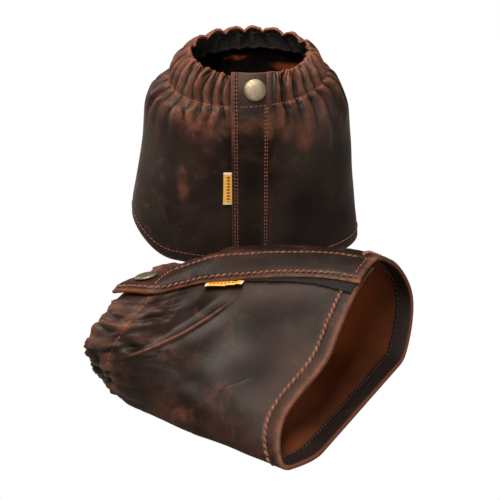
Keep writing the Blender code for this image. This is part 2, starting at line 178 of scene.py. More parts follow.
# the lying gaiter, one row for each section across its length
# down, along, crease y, middle y, z, ridge y, z, fold y, z, wall y, foot y, lean z, lean y, flap
LYING = (
    (0.0, -136.5, 33.0, 8.0, 38.0, 32.0, 62.5, 84.0, 59.0, 100.0, 72.0, 0.2, 0.15, 14.0),
    (12.0, -128.5, 29.0, 5.0, 42.0, 34.0, 67.0, 90.0, 62.0, 106.0, 78.0, 0.28, 0.15, 12.0),
    (25.0, -119.0, 21.0, 5.0, 43.0, 41.0, 71.5, 97.0, 65.0, 113.0, 86.0, 0.32, 0.11, 7.0),
    (40.0, -106.0, 11.0, 9.0, 42.0, 55.0, 74.0, 107.0, 67.0, 122.0, 92.0, 0.18, 0.06, 2.0),
    (52.0, -96.0, 7.0, 14.0, 40.0, 66.0, 75.0, 116.0, 67.0, 132.0, 98.0, 0.06, 0.0, 0.0),
    (79.0, -69.0, 2.5, 29.0, 41.0, 84.0, 74.0, 132.0, 67.0, 148.0, 112.0, -0.08, 0.0, 0.0),
    (135.0, -13.0, -5.0, 48.0, 44.0, 114.0, 72.0, 151.0, 66.0, 168.0, 136.0, -0.2, 0.0, 0.0),
    (160.0, 12.0, -9.0, 51.0, 46.0, 119.0, 71.0, 153.0, 65.0, 171.0, 140.0, -0.25, 0.0, 0.0),
)
LYING_TURN = math.radians(-28.0)
LYING_ORIGIN = (22.2, -296.1)
CREASE_BEHIND = 24.0  # around, from the front crease back to the shortest line
LEAN_HEIGHT = 38.0  # the sections lean about this height
LEAN_BELOW = 0.35  # share of the lean that is left below it, towards the rim
LEAN_MIDDLE = 60.0
SOFT_BEND = 13.0  # corners are rounded over this length
RING_POINTS = 480
STEP = 1.0


# %% Curves through the tables
def smooth(value):
    """Rises from 0 to 1 with level ends: 3 v squared minus 2 v cubed."""
    value = np.clip(value, 0.0, 1.0)
    return value * value * (3.0 - 2.0 * value)


def hermite(u, start, end, leave, arrive):
    """A cubic from start to end that leaves and arrives with the given slopes."""
    return (
        (2 * u**3 - 3 * u**2 + 1) * start
        + (u**3 - 2 * u**2 + u) * leave
        + (3 * u**2 - 2 * u**3) * end
        + (u**3 - u**2) * arrive
    )


def row_at(table, down):
    """A row between the table's rows, on a smooth curve through them."""
    rows = np.array(table)
    at, values = rows[:, 0], rows[:, 1:]
    steps = np.diff(at)[:, None]
    slopes = np.diff(values, axis=0) / steps
    inner = (slopes[:-1] * steps[1:] + slopes[1:] * steps[:-1]) / (steps[:-1] + steps[1:])
    tangents = np.concatenate([slopes[:1], inner, slopes[-1:]])
    i = int(np.clip(np.searchsorted(at, down) - 1, 0, len(at) - 2))
    h = at[i + 1] - at[i]
    return hermite((down - at[i]) / h, values[i], values[i + 1], h * tangents[i], h * tangents[i + 1])


def round_curve(corners, per_side):
    """A closed curve through the corners, with a tangent at each that suits its two spans."""
    points = np.array(corners)
    ahead = np.roll(points, -1, axis=0)
    behind = np.roll(points, 1, axis=0)
    span = np.sqrt(np.linalg.norm(ahead - points, axis=1))[:, None]
    before_span = np.roll(span, 1, axis=0)
    slope = (points - behind) / before_span - (ahead - behind) / (before_span + span)
    slope = slope + (ahead - points) / span
    u = np.linspace(0.0, 1.0, per_side, endpoint=False)[None, :, None]
    leave, arrive = (slope * span)[:, None], (np.roll(slope, -1, axis=0) * span)[:, None]
    return hermite(u, points[:, None], ahead[:, None], leave, arrive).reshape(-1, points.shape[1])


def run_along(points):
    """The length run along a polyline to each of its points."""
    return np.concatenate([[0.0], np.cumsum(np.linalg.norm(np.diff(points, axis=0), axis=1))])


def lengths_along(closed):
    """The loop with its first point repeated, and the length run to each point."""
    loop = np.concatenate([closed, closed[:1]])
    return loop, run_along(loop)


def points_at(lengths, run, loop):
    """Points of a polyline at given lengths along it."""
    return np.stack([np.interp(lengths, run, loop[:, k]) for k in range(loop.shape[1])], axis=-1)


def soften(closed, width):
    """Rounds the closed curve's corners by averaging each point over a width along it."""
    loop, run = lengths_along(closed)
    even = points_at(np.linspace(0.0, run[-1], RING_POINTS, endpoint=False), run, loop)
    half = max(1, int(round(0.5 * width / run[-1] * RING_POINTS)))
    return sum(np.roll(even, k, axis=0) for k in range(-half, half + 1)) / (2 * half + 1)


def spread_round(closed, flap_run, lead):
    """Points every millimetre of the pattern; the flap keeps its true width, the rest is eased."""
    loop, run = lengths_along(closed)
    half = 0.5 * (FLAP_END - FLAP_EDGE)
    pattern = [0.0, lead + FLAP_EDGE, lead + FLAP_END, HEM_ROUND]
    lengths = [0.0, flap_run - half, flap_run + half, run[-1]]
    around = np.mod(np.arange(0.0, HEM_ROUND, STEP) + lead, HEM_ROUND)
    return points_at(np.interp(around, pattern, lengths), run, loop)


# %% The two leg openings, ring by ring
def standing_ring(down):
    """One level of the standing gaiter: half an ellipse in front and another behind."""
    height, dip, rise, left, right, front, back = row_at(STANDING, down)
    turn = math.pi + np.linspace(0.0, 2 * math.pi, RING_POINTS, endpoint=False)
    middle, half = 0.5 * (left + right), 0.5 * (right - left)
    x = middle + half * np.cos(turn)
    y = np.where(np.sin(turn) < 0.0, -front, back) * np.sin(turn)
    z = height + STANDING_LIFT + (dip * y + rise * x) / TILT_REACH
    ring = np.stack([x, y, z], axis=-1)
    run = lengths_along(ring)[1]
    front_half = slice(0, RING_POINTS // 2)
    flap_run = float(np.interp(FLAP_MIDDLE_X, x[front_half], run[front_half]))
    return spread_round(ring, flap_run, 0.0)


def lying_ring(down):
    """One section of the lying gaiter: a rounded hexagon, flat where it rests on the floor."""
    (along, crease_y, middle_y, middle_z, ridge_y, ridge_z, fold_y, fold_z, wall_y, foot_y,
     lean_z, lean_y, flap_past_ridge) = row_at(LYING, down)
    corners = (
        (crease_y, 0.0),
        (middle_y, middle_z),
        (ridge_y, ridge_z),
        (fold_y, fold_z),
        (wall_y, 0.5 * fold_z),
        (foot_y, 0.0),
        (0.5 * (crease_y + foot_y), 0.0),
    )
    section = round_curve(corners, 60)
    section[:, 1] = np.maximum(section[:, 1], 0.0)
    section = soften(section, SOFT_BEND)
    run = lengths_along(section)[1]
    ridge = int(np.argmin(np.hypot(section[:, 0] - ridge_y, section[:, 1] - ridge_z)))
    y, z = section[:, 0], section[:, 1]
    above = z - LEAN_HEIGHT
    rim_lean = np.where(above < 0.0, LEAN_BELOW * above, above)
    x = along + lean_z * (z if lean_z < 0.0 else rim_lean) + lean_y * (y - LEAN_MIDDLE)
    cosine, sine = math.cos(LYING_TURN), math.sin(LYING_TURN)
    turned_x = LYING_ORIGIN[0] + x * cosine - y * sine
    turned_y = LYING_ORIGIN[1] + x * sine + y * cosine
    ring = np.stack([turned_x, turned_y, z], axis=-1)
    return spread_round(ring, run[ridge] + flap_past_ridge, CREASE_BEHIND)


class Surface:
    """The leg opening's surface on a millimetre grid, with its outward normals."""

    def __init__(self, ring_at):
        downs = np.arange(0.0, LONG_DROP + STEP, STEP)
        self.points = np.array([ring_at(down) for down in downs]) - np.array(PAIR_CENTRE)
        wrapped = np.concatenate([self.points[:, -2:], self.points, self.points[:, :2]], axis=1)
        normals = np.cross(np.gradient(self.points, axis=0), np.gradient(wrapped, axis=1)[:, 2:-2])
        for _ in range(3):
            normals = (np.roll(normals, 1, axis=1) + normals + np.roll(normals, -1, axis=1)) / 3.0
        self.normals = normals / np.linalg.norm(normals, axis=-1, keepdims=True)

    def mixed(self, field, around, down):
        """A field's value between the grid's points, by mixing the four nearest."""
        row = np.clip(down / STEP, 0.0, len(self.points) - 1.001)
        column = np.mod(around, HEM_ROUND) / STEP
        r, c = np.floor(row).astype(int), np.floor(column).astype(int)
        u, v = (row - r)[..., None], (column - c)[..., None]
        n = self.points.shape[1]
        left, right = np.mod(c, n), np.mod(c + 1, n)
        upper = field[r, left] * (1 - v) + field[r, right] * v
        lower = field[r + 1, left] * (1 - v) + field[r + 1, right] * v
        return upper * (1 - u) + lower * u

    def at(self, around, down, out):
        """Points at places of the pattern, moved out along the normal and kept above the floor."""
        around, down, out = np.broadcast_arrays(
            np.asarray(around, float), np.asarray(down, float), np.asarray(out, float)
        )
        normal = self.mixed(self.normals, around, down)
        normal = normal / np.linalg.norm(normal, axis=-1, keepdims=True)
        points = self.mixed(self.points, around, down) + normal * out[..., None]
        points[..., 2] = np.maximum(points[..., 2], 0.0)
        return points


surfaces = {"standing": Surface(standing_ring), "lying": Surface(lying_ring)}
for name, surface in surfaces.items():
    lengths = np.linalg.norm(np.diff(surface.points, axis=1), axis=-1).sum(axis=1)
    print(name, "rim", round(float(lengths[0])), "mm round, hem", round(float(lengths[-1])), "mm")

# %% [markdown]
# Real gathers are uneven: no two are the same height or width. A soft noise makes them so. It is a
# lattice of seeded random values, blended smoothly between its points, so it gives the same numbers
# on every run and at any spacing.


# %% Soft noise, and the lines of the cut
LATTICE = 64


def soft_noise(x, y, seed):
    """Values from -1 to 1 on a whole-number lattice, blended smoothly between its points."""
    lattice = np.random.default_rng(seed).uniform(-1.0, 1.0, (LATTICE, LATTICE))
    x, y = np.broadcast_arrays(np.asarray(x, float), np.asarray(y, float))
    i, j = np.floor(x).astype(int), np.floor(y).astype(int)
    u, v = smooth(x - i), smooth(y - j)
    i0, i1, j0, j1 = i % LATTICE, (i + 1) % LATTICE, j % LATTICE, (j + 1) % LATTICE
    upper = lattice[j0, i0] * (1 - u) + lattice[j0, i1] * u
    lower = lattice[j1, i0] * (1 - u) + lattice[j1, i1] * u
    return upper * (1 - v) + lower * v


def bell(value, width):
    """A soft bump of height 1 at 0, gone at about twice the width."""
    return np.exp(-((value / width) ** 2))


def cut_drop(around):
    """Down at the hem: level, with a soft rise to the shortest line."""
    wrapped = np.mod(around, HEM_ROUND)
    away = np.minimum(wrapped, HEM_ROUND - wrapped)
    rise = 0.5 * (1.0 + np.cos(np.pi * np.clip(away / RAMP, 0.0, 1.0)))
    return LONG_DROP - (LONG_DROP - SHORT_DROP) * rise


def flap_lift(around):
    """Height of the leather over the leg: the flap rides over the underlap and two tapes."""
    edge = EDGE_LIFT + (FLAP_LIFT - EDGE_LIFT) * smooth((around - FLAP_EDGE) / 5.0)
    return edge * smooth((FLAP_END + LIFT_RUN - around) / LIFT_RUN)


def gathered(around):
    """1 where the elastic gathers the leather, 0 on the flat flap and its underlap."""
    return smooth((around - GATHER_START + 5.0) / 9.0) * smooth((GATHER_END + 3.0 - around) / 9.0)


# %% [markdown]
# The relief of the leather is a height over the leg's surface, the sum of simple parts: broad
# ridges with narrow valleys for the gathers, a finer wave over them, tight frills at the rim where
# the elastic pulls hardest, the pull of each stitch line, soft folds that fade into the body, and
# creases placed from the photograph. Every part also says how worn its crests are, because
# this waxed leather turns from near black to orange brown wherever it is bent or rubbed.
# Valleys, slits, puckers and some placed patches get painted shade; other patches, painted highlights.

# %% Creases placed one by one
# around and down at the start, around and down at the end, bend, width, height, and wear,
# which below nought is painted shade
STANDING_CREASES = (
    # left of the flap, under the casing
    (31.0, 33.0, 24.0, 52.0, 0.8, 1.1, 0.45, 1.2),
    (14.0, 30.0, 20.0, 56.0, -2.0, 5.0, -1.0, 0.0),
    (40.0, 31.0, 58.0, 56.0, 3.0, 4.2, 1.7, 0.1),
    (53.0, 29.0, 69.0, 55.0, 2.0, 2.8, -1.5, 0.0),
    (63.0, 31.0, 74.0, 60.0, 1.5, 3.6, 1.3, 0.7),
    (74.0, 29.0, 80.0, 50.0, 0.8, 2.2, -1.3, 0.0),
    (84.0, 30.0, 89.0, 62.0, 1.0, 3.8, 1.2, 0.8),
    (94.0, 33.0, 97.5, 57.0, 0.0, 1.7, -1.3, 0.0),
    # right of the flap
    (137.0, 27.0, 140.0, 66.0, 0.5, 4.0, 0.8, 0.7),
    (146.0, 27.0, 149.0, 55.0, 1.0, 2.6, -1.1, 0.0),
    (156.0, 29.0, 160.0, 62.0, 1.0, 4.0, 1.1, 0.2),
    (166.0, 28.0, 169.0, 52.0, -0.6, 2.4, -1.2, 0.0),
    (173.0, 33.0, 176.0, 82.0, 1.5, 5.0, 1.5, 0.5),
    (187.0, 27.0, 187.0, 60.0, -1.0, 2.8, -1.3, 0.0),
    (197.0, 29.0, 203.0, 66.0, 1.0, 4.5, 1.2, 0.4),
    # low on the body
    (66.0, 78.0, 62.0, 106.0, 1.5, 5.0, 0.3, 0.8),
    (58.0, 100.0, 74.0, 122.0, -2.0, 8.0, 0.3, 0.4),
    (107.0, 81.0, 116.0, 81.4, 0.4, 0.5, -0.12, 1.3),
    (150.0, 104.0, 172.0, 118.0, 2.0, 7.0, -0.5, 0.1),
    (36.0, 66.0, 60.0, 92.0, -4.0, 8.0, -0.6, 0.1),
    # round the back, out of the photograph's sight
    (232.0, 28.0, 236.0, 62.0, 1.0, 4.0, 1.3, 0.5),
    (246.0, 27.0, 251.0, 56.0, 1.0, 2.6, -1.2, 0.0),
    (262.0, 30.0, 270.0, 74.0, 2.0, 4.5, 1.2, 0.3),
    (284.0, 28.0, 288.0, 58.0, -1.0, 2.8, -1.3, 0.0),
    (301.0, 30.0, 306.0, 70.0, 1.0, 4.2, 1.3, 0.6),
    (322.0, 27.0, 320.0, 60.0, 1.0, 3.0, -1.1, 0.0),
    (338.0, 29.0, 343.0, 76.0, 1.0, 4.4, 1.2, 0.3),
    (362.0, 28.0, 360.0, 58.0, -1.0, 2.6, -1.2, 0.0),
    (381.0, 30.0, 386.0, 66.0, 1.0, 4.0, 1.3, 0.6),
    (404.0, 28.0, 408.0, 60.0, 1.0, 3.0, -1.0, 0.0),
    (250.0, 96.0, 290.0, 118.0, 4.0, 7.0, -0.5, 0.2),
    (330.0, 88.0, 372.0, 104.0, -3.0, 6.0, 0.5, 0.4),
)
LYING_CREASES = (
    # the long fold across the near face, and the hollow above it
    (30.0, 28.0, 92.0, 89.0, 6.5, 1.5, 1.4, 1.1),
    (45.0, 37.0, 95.0, 79.0, 3.6, 6.5, -2.2, 0.1),
    (34.0, 50.0, 84.0, 96.0, 5.0, 9.0, 0.7, 0.0),
    # hollows and ridges under the casing; the hollows get painted shade
    (97.0, 26.0, 80.0, 54.0, 1.5, 4.6, -2.0, -0.7),
    (86.0, 27.0, 74.0, 46.0, -1.0, 3.4, 1.5, 0.6),
    (77.0, 32.0, 66.0, 52.0, 1.0, 2.8, -1.8, -0.8),
    (69.0, 33.0, 55.0, 54.0, 1.5, 4.2, 1.7, 0.0),
    (57.0, 26.0, 38.0, 43.0, 2.0, 3.0, -2.6, -0.8),
    # deep puckers in the collapsed casing; the puckers get painted shade
    (82.0, 6.0, 74.0, 22.0, 1.0, 2.6, -2.8, -1.6),
    (70.0, 8.0, 60.0, 23.0, 1.5, 3.0, -3.2, -1.8),
    (52.0, 10.0, 43.0, 28.0, 1.0, 4.6, 2.0, 0.5),
    (43.0, 6.0, 31.0, 21.0, 1.0, 2.8, -2.6, -1.6),
    (20.0, 4.0, 8.0, 20.0, -1.0, 3.2, -2.2, -1.2),
    # along the body
    (12.0, 92.0, 27.0, 115.0, 1.5, 1.0, 0.4, 0.9),
    (4.0, 40.0, 16.0, 92.0, -3.0, 8.0, -0.8, 0.2),
    (70.0, 96.0, 84.0, 128.0, 3.0, 8.0, -0.8, 0.0),
    (62.0, 108.0, 66.0, 132.0, 2.0, 7.0, 0.4, 0.3),
    (94.0, 88.0, 90.0, 120.0, 1.5, 5.0, 0.3, 0.2),
    (420.0, 60.0, 404.0, 112.0, 4.0, 8.0, -0.6, 0.2),
    # the far side and the back
    (150.0, 28.0, 158.0, 64.0, 1.0, 4.0, 1.3, 0.5),
    (166.0, 27.0, 171.0, 54.0, 1.0, 2.6, -1.4, 0.0),
    (186.0, 29.0, 190.0, 70.0, -1.0, 4.4, 1.3, 0.4),
    (204.0, 27.0, 206.0, 56.0, 1.0, 2.8, -1.3, 0.0),
    (224.0, 30.0, 231.0, 74.0, 2.0, 4.2, 1.2, 0.5),
    (180.0, 92.0, 214.0, 116.0, 3.0, 7.0, -0.6, 0.2),
    (236.0, 86.0, 262.0, 120.0, -3.0, 6.0, 0.6, 0.4),
)
CREASES = {"standing": STANDING_CREASES, "lying": LYING_CREASES}


def crease_field(creases, around, down):
    """Height of all creases, and their wear, which below nought is painted shade.

    A crease is a bell across a bowed line: its height falls off with the distance from the line,
    which leaves its chord by the bend in the middle, and dies out at both ends.
    """
    height, wear_and_painted_light = np.zeros_like(around), np.zeros_like(around)
    for start_x, start_y, end_x, end_y, bend, width, top, tint in creases:
        along_x, along_y = end_x - start_x, end_y - start_y
        length = math.hypot(along_x, along_y)
        wrapped = around - HEM_ROUND * np.round((around - 0.5 * (start_x + end_x)) / HEM_ROUND)
        x, y = wrapped - start_x, down - start_y
        t = np.clip((x * along_x + y * along_y) / length**2, 0.0, 1.0)
        across = (along_x * y - along_y * x) / length - bend * 4.0 * t * (1.0 - t)
        beyond = np.hypot(x - t * along_x, y - t * along_y)
        ends = smooth(t / 0.3) * smooth((1.0 - t) / 0.3)
        shape = np.where(beyond < 5.0 * width + abs(bend), bell(across, width) * ends, 0.0)
        height += top * shape
        wear_and_painted_light += tint * shape
    return height, wear_and_painted_light


# patches of the leather's colour: around, down, half width, half length, and a tone that is
# redder above nought, some rows being painted highlights, and painted shade below nought
TONE_AND_PAINTED_LIGHT_PLACES = {
    "standing": (
        # painted highlights at 155, 62 and on the flap's top at 114, 47, painted light along the
        # shoulder
        (155.0, 62.0, 8.0, 12.0, 0.7),
        (65.0, 103.0, 6.0, 9.0, 0.3),
        (110.0, 46.0, 72.0, 13.0, 0.26),
        (77.0, 54.0, 16.0, 14.0, 0.3),
        (52.0, 42.0, 14.0, 10.0, 0.3),
        # every row below nought is painted shade
        (89.0, 80.0, 12.0, 14.0, -0.5),
        (114.0, 47.0, 9.0, 9.0, 0.15),
        (114.0, 84.0, 11.0, 22.0, -1.0),
        (114.0, 135.0, 12.0, 28.0, -0.85),
        (150.0, 112.0, 18.0, 24.0, -0.9),
        (185.0, 90.0, 24.0, 32.0, -0.6),
        (185.0, 135.0, 30.0, 20.0, -0.6),
        (80.0, 130.0, 20.0, 24.0, -0.45),
        (142.0, 145.0, 16.0, 14.0, -0.7),
    ),
    "lying": (
        # every row below nought is painted shade
        (77.0, 128.0, 14.0, 18.0, -0.7),
        (75.0, 104.0, 16.0, 12.0, -0.5),
        (49.0, 44.0, 10.0, 8.0, 0.25),
        (28.0, 108.0, 12.0, 20.0, -0.5),
        (7.0, 86.0, 15.0, 20.0, -0.45),
        (60.0, 112.0, 12.0, 24.0, -0.5),
        (415.0, 70.0, 20.0, 20.0, 0.3),
        (87.0, 60.0, 12.0, 16.0, -0.3),
        (40.0, 118.0, 20.0, 14.0, -0.4),
        (114.0, 100.0, 10.0, 44.0, -0.7),
        (114.0, 52.0, 9.0, 8.0, 0.3),
        (250.0, 90.0, 24.0, 20.0, 0.3),
        (180.0, 110.0, 26.0, 22.0, -0.4),
    ),
}

# %% The relief, part by part
# how rubbed the leather is at the hem, at the flap's free edge and all over the casing
HEM_WEAR = {"standing": 0.35, "lying": 0.65}
FLAP_EDGE_WEAR = {"standing": 0.3, "lying": 0.5}
CASING_WEAR = {"standing": 0.32, "lying": 0.2}
# how tall the gathers and the lumps between them are on each gaiter
GATHER_LOOK = {"standing": (1.25, 0.9), "lying": (0.35, 2.4)}
# where the rim is frilled most tightly: around at the start and end, height of the frills
RIM_FRILLS = {
    "standing": (
        (130.0, 185.0, 1.7),
        (185.0, 215.0, 1.0),
        (215.0, 425.0, 0.2),
        (425.0, 462.0, 0.9),
        (462.0, 522.0, 1.5),
    ),
    "lying": (
        (130.0, 300.0, 0.5),
        (300.0, 430.0, 0.4),
        (430.0, 522.0, 0.35),
    ),
}
FRILL_PITCH = 4.5
SCALLOP_PITCH = 24.0
SCALLOP_DEPTH = 2.9
# the far side of the rim: around at its start and end, and the step at both
BACK_START, BACK_END, BACK_STEP = 205.0, 440.0, 25.0
SEAM_ROWS = (104.8, 124.3)  # around, at the flap's two seams
HEM_SEAM = 10.6  # up from the hem
SEEDS = {"standing": 3, "lying": 11}


def zone_value(zones, around):
    """The height of the zone that a place is in, with soft steps between zones."""
    total = np.zeros_like(around)
    for start, end, value in zones:
        total += value * smooth((around - start + 3.0) / 6.0) * smooth((end + 3.0 - around) / 6.0)
    return total


def gather_turns(around, down, seed):
    """Gathers passed at a place: evenly spaced, then shifted by noise, and leaning with depth."""
    t = (around - GATHER_START) / (GATHER_END - GATHER_START)
    shift = 0.16 * np.sin(2 * np.pi * 3 * t + 1.0) + 0.09 * np.sin(2 * np.pi * 7 * t + 2.0)
    start = 0.16 * math.sin(1.0) + 0.09 * math.sin(2.0)
    lean = 0.22 * soft_noise(around / 26.0, down / 18.0, seed)
    return GATHERS * t + shift - start + lean


def scallop_turns(name, around):
    """Lumps passed along the back of the rim, wider than the gathers."""
    return around / SCALLOP_PITCH + 0.35 * soft_noise(around / 30.0, 0.3, SEEDS[name] + 8)


def far_side(around):
    """One along the far side of a rim, and nought along its front."""
    return smooth((around - BACK_START) / BACK_STEP) * smooth((BACK_END - around) / BACK_STEP)


def rim_back(name, around):
    """One along the far side of the standing gaiter's rim, and nought elsewhere."""
    return np.zeros_like(around) if name == "lying" else far_side(around)


def gather_relief(name, around, down):
    """Height and crest of the gathers: broad ridges with narrow valleys, under uneven lumps."""
    seed = SEEDS[name]
    turns = gather_turns(around, down, seed)
    table = np.array(GATHER_HEIGHT)
    tall = np.interp(down, table[:, 0], table[:, 1])
    uneven = 1.0 + 0.85 * soft_noise(turns, down / 30.0, seed + 1)
    valley = 0.5 - 0.5 * np.cos(2 * np.pi * turns)
    ridge = 1.0 - 2.0 * valley**1.7
    lumps = soft_noise(turns * 0.7, down / 8.0, seed + 2)
    lumps = lumps + 0.35 * soft_noise(turns * 1.7, down / 5.0, seed + 10)
    waves, lumpy = GATHER_LOOK[name]
    lumps = lumpy * lumps * smooth((40.0 - down) / 20.0)
    height = waves * tall * uneven * ridge + lumps
    back = rim_back(name, around)
    rounded = 2.0 * np.abs(np.cos(np.pi * scallop_turns(name, around))) ** 0.6 - 1.0
    at_rim = smooth((20.0 - down) / 20.0)
    height = height * (1.0 - (0.45 + 0.45 * at_rim) * back) + 2.1 * rounded * at_rim * back
    crest = np.clip(waves, 0.0, 1.0) * ridge + 0.5 * lumps
    return height * gathered(around), crest * smooth((62.0 - down) / 40.0) * gathered(around)


def rim_relief(name, around, down):
    """Frills at the rim, a tight uneven wave that soon dies out: its height, and how deep it is."""
    seed = SEEDS[name]
    strength = zone_value(RIM_FRILLS[name], around) * gathered(around)
    uneven = 1.0 + 0.7 * soft_noise(around / 5.0, 0.0, seed + 4)
    phase = around / FRILL_PITCH + 0.9 * soft_noise(around / 9.0, down / 9.0, seed + 3)
    reach = 6.2 + 2.6 * soft_noise(around / 7.0, 0.5, seed + 5)
    wave = np.cos(2 * np.pi * phase)
    fade = strength * uneven * np.exp(-((down / reach) ** 2))
    return fade * wave, -wave * np.clip(fade, 0.0, 1.0)


def stitch_pull(around, down):
    """The lower casing stitch pulls a groove into the leather, with a small pucker at each stitch."""
    groove = -0.9 * bell(down - CASING_DROP, 2.0)
    pucker = 0.3 * bell(down - CASING_DROP, 4.0) * soft_noise(around / 2.6, down / 5.0, 31)
    return (groove + pucker) * gathered(around)


def casing_puff(around, down):
    """The casing is soft and stands proud between the rim and its lower stitch."""
    t = np.clip(down / CASING_DROP, 0.0, 1.0)
    return 1.1 * np.sin(np.pi * t) ** 0.8 * gathered(around)


def seam_grooves(around, down):
    """Shallow grooves under the flap's stitch rows, and under the row above the hem."""
    on_flap = smooth((FLAP_END + 2.0 - around) / 1.0)
    rows = sum(bell(around - place, 0.8) for place in SEAM_ROWS)
    hem = bell(cut_drop(around) - down - HEM_SEAM, 1.1)
    return -0.3 * rows * on_flap - 0.4 * hem * (1.0 - on_flap)


def tone_and_painted_light_places(name, around, down):
    """Patches redder, above nought, some of them painted highlights, and painted shade, below it."""
    total = np.zeros_like(around)
    for middle_x, middle_y, half_x, half_y, tone in TONE_AND_PAINTED_LIGHT_PLACES[name]:
        away = around - middle_x
        away = away - HEM_ROUND * np.round(away / HEM_ROUND)
        total = total + tone * bell(away, half_x) * bell(down - middle_y, half_y)
    return total


def tab_tilt(name, around, down):
    """The lying gaiter's tab leans back: higher at its free edge, lower at its far side."""
    if name == "standing":
        return 0.0
    lean = -0.2 * (np.clip(around, FLAP_EDGE, 132.0) - 114.0)
    lean = lean * smooth((150.0 - around) / 18.0)
    return lean * smooth((34.0 - down) / 20.0)


def outer_relief(name, around, down):
    """Height of the leather's outer face over the leg surface, and its wear with painted light and
    shade.
    """
    seed = SEEDS[name]
    gathers, crest = gather_relief(name, around, down)
    creases, crease_wear_and_shade = crease_field(CREASES[name], around, down)
    off_flap = smooth((around - FLAP_END) / 8.0) * smooth((HEM_ROUND + FLAP_EDGE - around) / 3.0)
    body = 0.55 * soft_noise(around / 31.0, down / 27.0, seed + 6)
    body = body + 0.25 * soft_noise(around / 13.0, down / 15.0, seed + 7)
    body = body * smooth((down - 20.0) / 25.0) * (0.25 + 0.75 * off_flap)
    near_hem = smooth((cut_drop(around) - down) / 14.0)
    height = flap_lift(around) + gathers + creases * (0.3 + 0.7 * off_flap) + body * near_hem
    frills, slits = rim_relief(name, around, down)
    height = height + frills + stitch_pull(around, down)
    height = height + casing_puff(around, down) + seam_grooves(around, down)
    height = height + tab_tilt(name, around, down)
    casing = smooth((44.0 - down) / 34.0) * gathered(around)
    wear_and_painted_light = 0.3 * np.clip(crest, 0.0, 1.0) + 0.5 * crease_wear_and_shade + CASING_WEAR[name] * casing
    # valleys between the gathers and lumps get painted shade
    wear_and_painted_light = wear_and_painted_light - 1.1 * np.clip(-crest, 0.0, 1.0) ** 1.5 + tone_and_painted_light_places(name, around, down)
    # the frills' crests are rubbed orange, and their valleys get painted shade
    wear_and_painted_light = wear_and_painted_light + 0.6 * np.clip(-slits, 0.0, 1.0) - 1.8 * np.clip(slits, 0.0, 1.0)
    wear_and_painted_light = wear_and_painted_light + 0.5 * np.exp(-down / 6.0) * (0.4 + 0.6 * gathered(around))
    wear_and_painted_light = wear_and_painted_light + 0.35 * bell(down - CASING_DROP, 3.0) * gathered(around)
    wear_and_painted_light = wear_and_painted_light + HEM_WEAR[name] * bell(cut_drop(around) - down, 4.5)
    wear_and_painted_light = wear_and_painted_light + 0.45 * bell(around - FLAP_EDGE, 2.0) + 0.25 * bell(around - 125.5, 3.0)
    return height, wear_and_painted_light


def rim_level(name, around):
    """Down at the rim's edge: the tab stands 2 mm up, and the back of the rim is scalloped."""
    seed = SEEDS[name]
    tab = 1.0 - smooth((GATHER_START - around) / 3.0)
    tab = tab * smooth((HEM_ROUND + FLAP_EDGE + 30.0 - around) / 3.0)
    scallop = 1.0 - np.abs(np.cos(np.pi * scallop_turns(name, around))) ** 0.35
    scallop = SCALLOP_DEPTH * far_side(around) * scallop
    ripple = 0.5 * soft_noise(around / 3.4, 0.7, seed + 9)
    frills, _ = rim_relief(name, around, np.zeros_like(around))
    return TAB_RISE * tab + (scallop + ripple - 0.35 * frills) * gathered(around)


print("creases placed by hand:", {name: len(rows) for name, rows in CREASES.items()})

# %% [markdown]
# The leather is one closed mesh: rows of points follow each other down the outer face, round the
# folded hem edge and up the inner face, and the last row meets the first over the rim. The casing
# needs columns twice as fine as the body, so a row of triangles between them halves their number.


# %% Mesh helpers
def joined_rows(rows, closed):
    """Faces between rows of points, where each row has as many points as the last, half or double."""
    faces = []
    firsts = np.concatenate([[0], np.cumsum([len(row) for row in rows])])
    count = len(rows) if closed else len(rows) - 1
    for k in range(count):
        upper, lower = rows[k], rows[(k + 1) % len(rows)]
        a, b = int(firsts[k]), int(firsts[(k + 1) % len(rows)])
        n, m = len(upper) - 1, len(lower) - 1
        if n == m:
            i = np.arange(n)
            faces.append(np.stack([a + i, b + i, b + i + 1, a + i + 1], axis=-1))
        elif n == 2 * m:
            i = np.arange(m)
            left, middle, right = a + 2 * i, a + 2 * i + 1, a + 2 * i + 2
            faces.append(np.stack([left, b + i, middle], axis=-1))
            faces.append(np.stack([middle, b + i, b + i + 1], axis=-1))
            faces.append(np.stack([middle, b + i + 1, right], axis=-1))
        else:
            i = np.arange(n)
            left, middle, right = b + 2 * i, b + 2 * i + 1, b + 2 * i + 2
            faces.append(np.stack([a + i, left, middle], axis=-1))
            faces.append(np.stack([a + i, middle, a + i + 1], axis=-1))
            faces.append(np.stack([a + i + 1, middle, right], axis=-1))
    return [face for group in faces for face in group.tolist()], firsts


def add_piece(name, points, faces, attributes=None):
    """A smooth mesh in metres from points in millimetres, with its faces turned outwards."""
    mesh = bpy.data.meshes.new(name)
    mesh.from_pydata((np.asarray(points) * MM).tolist(), [], faces)
    for key, values in (attributes or {}).items():
        mesh.attributes.new(key, "FLOAT", "POINT").data.foreach_set(
            "value", np.ascontiguousarray(values, dtype=np.float32)
        )
    work = bmesh.new()
    work.from_mesh(mesh)
    bmesh.ops.recalc_face_normals(work, faces=work.faces)
    work.to_mesh(mesh)
    work.free()
    mesh.shade_smooth()
    piece = bpy.data.objects.new(name, mesh)
    bpy.context.scene.collection.objects.link(piece)
    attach(piece, "root")
    triangles = sum(len(face) - 2 for face in faces)
    print(name, triangles, "triangles")
    return piece


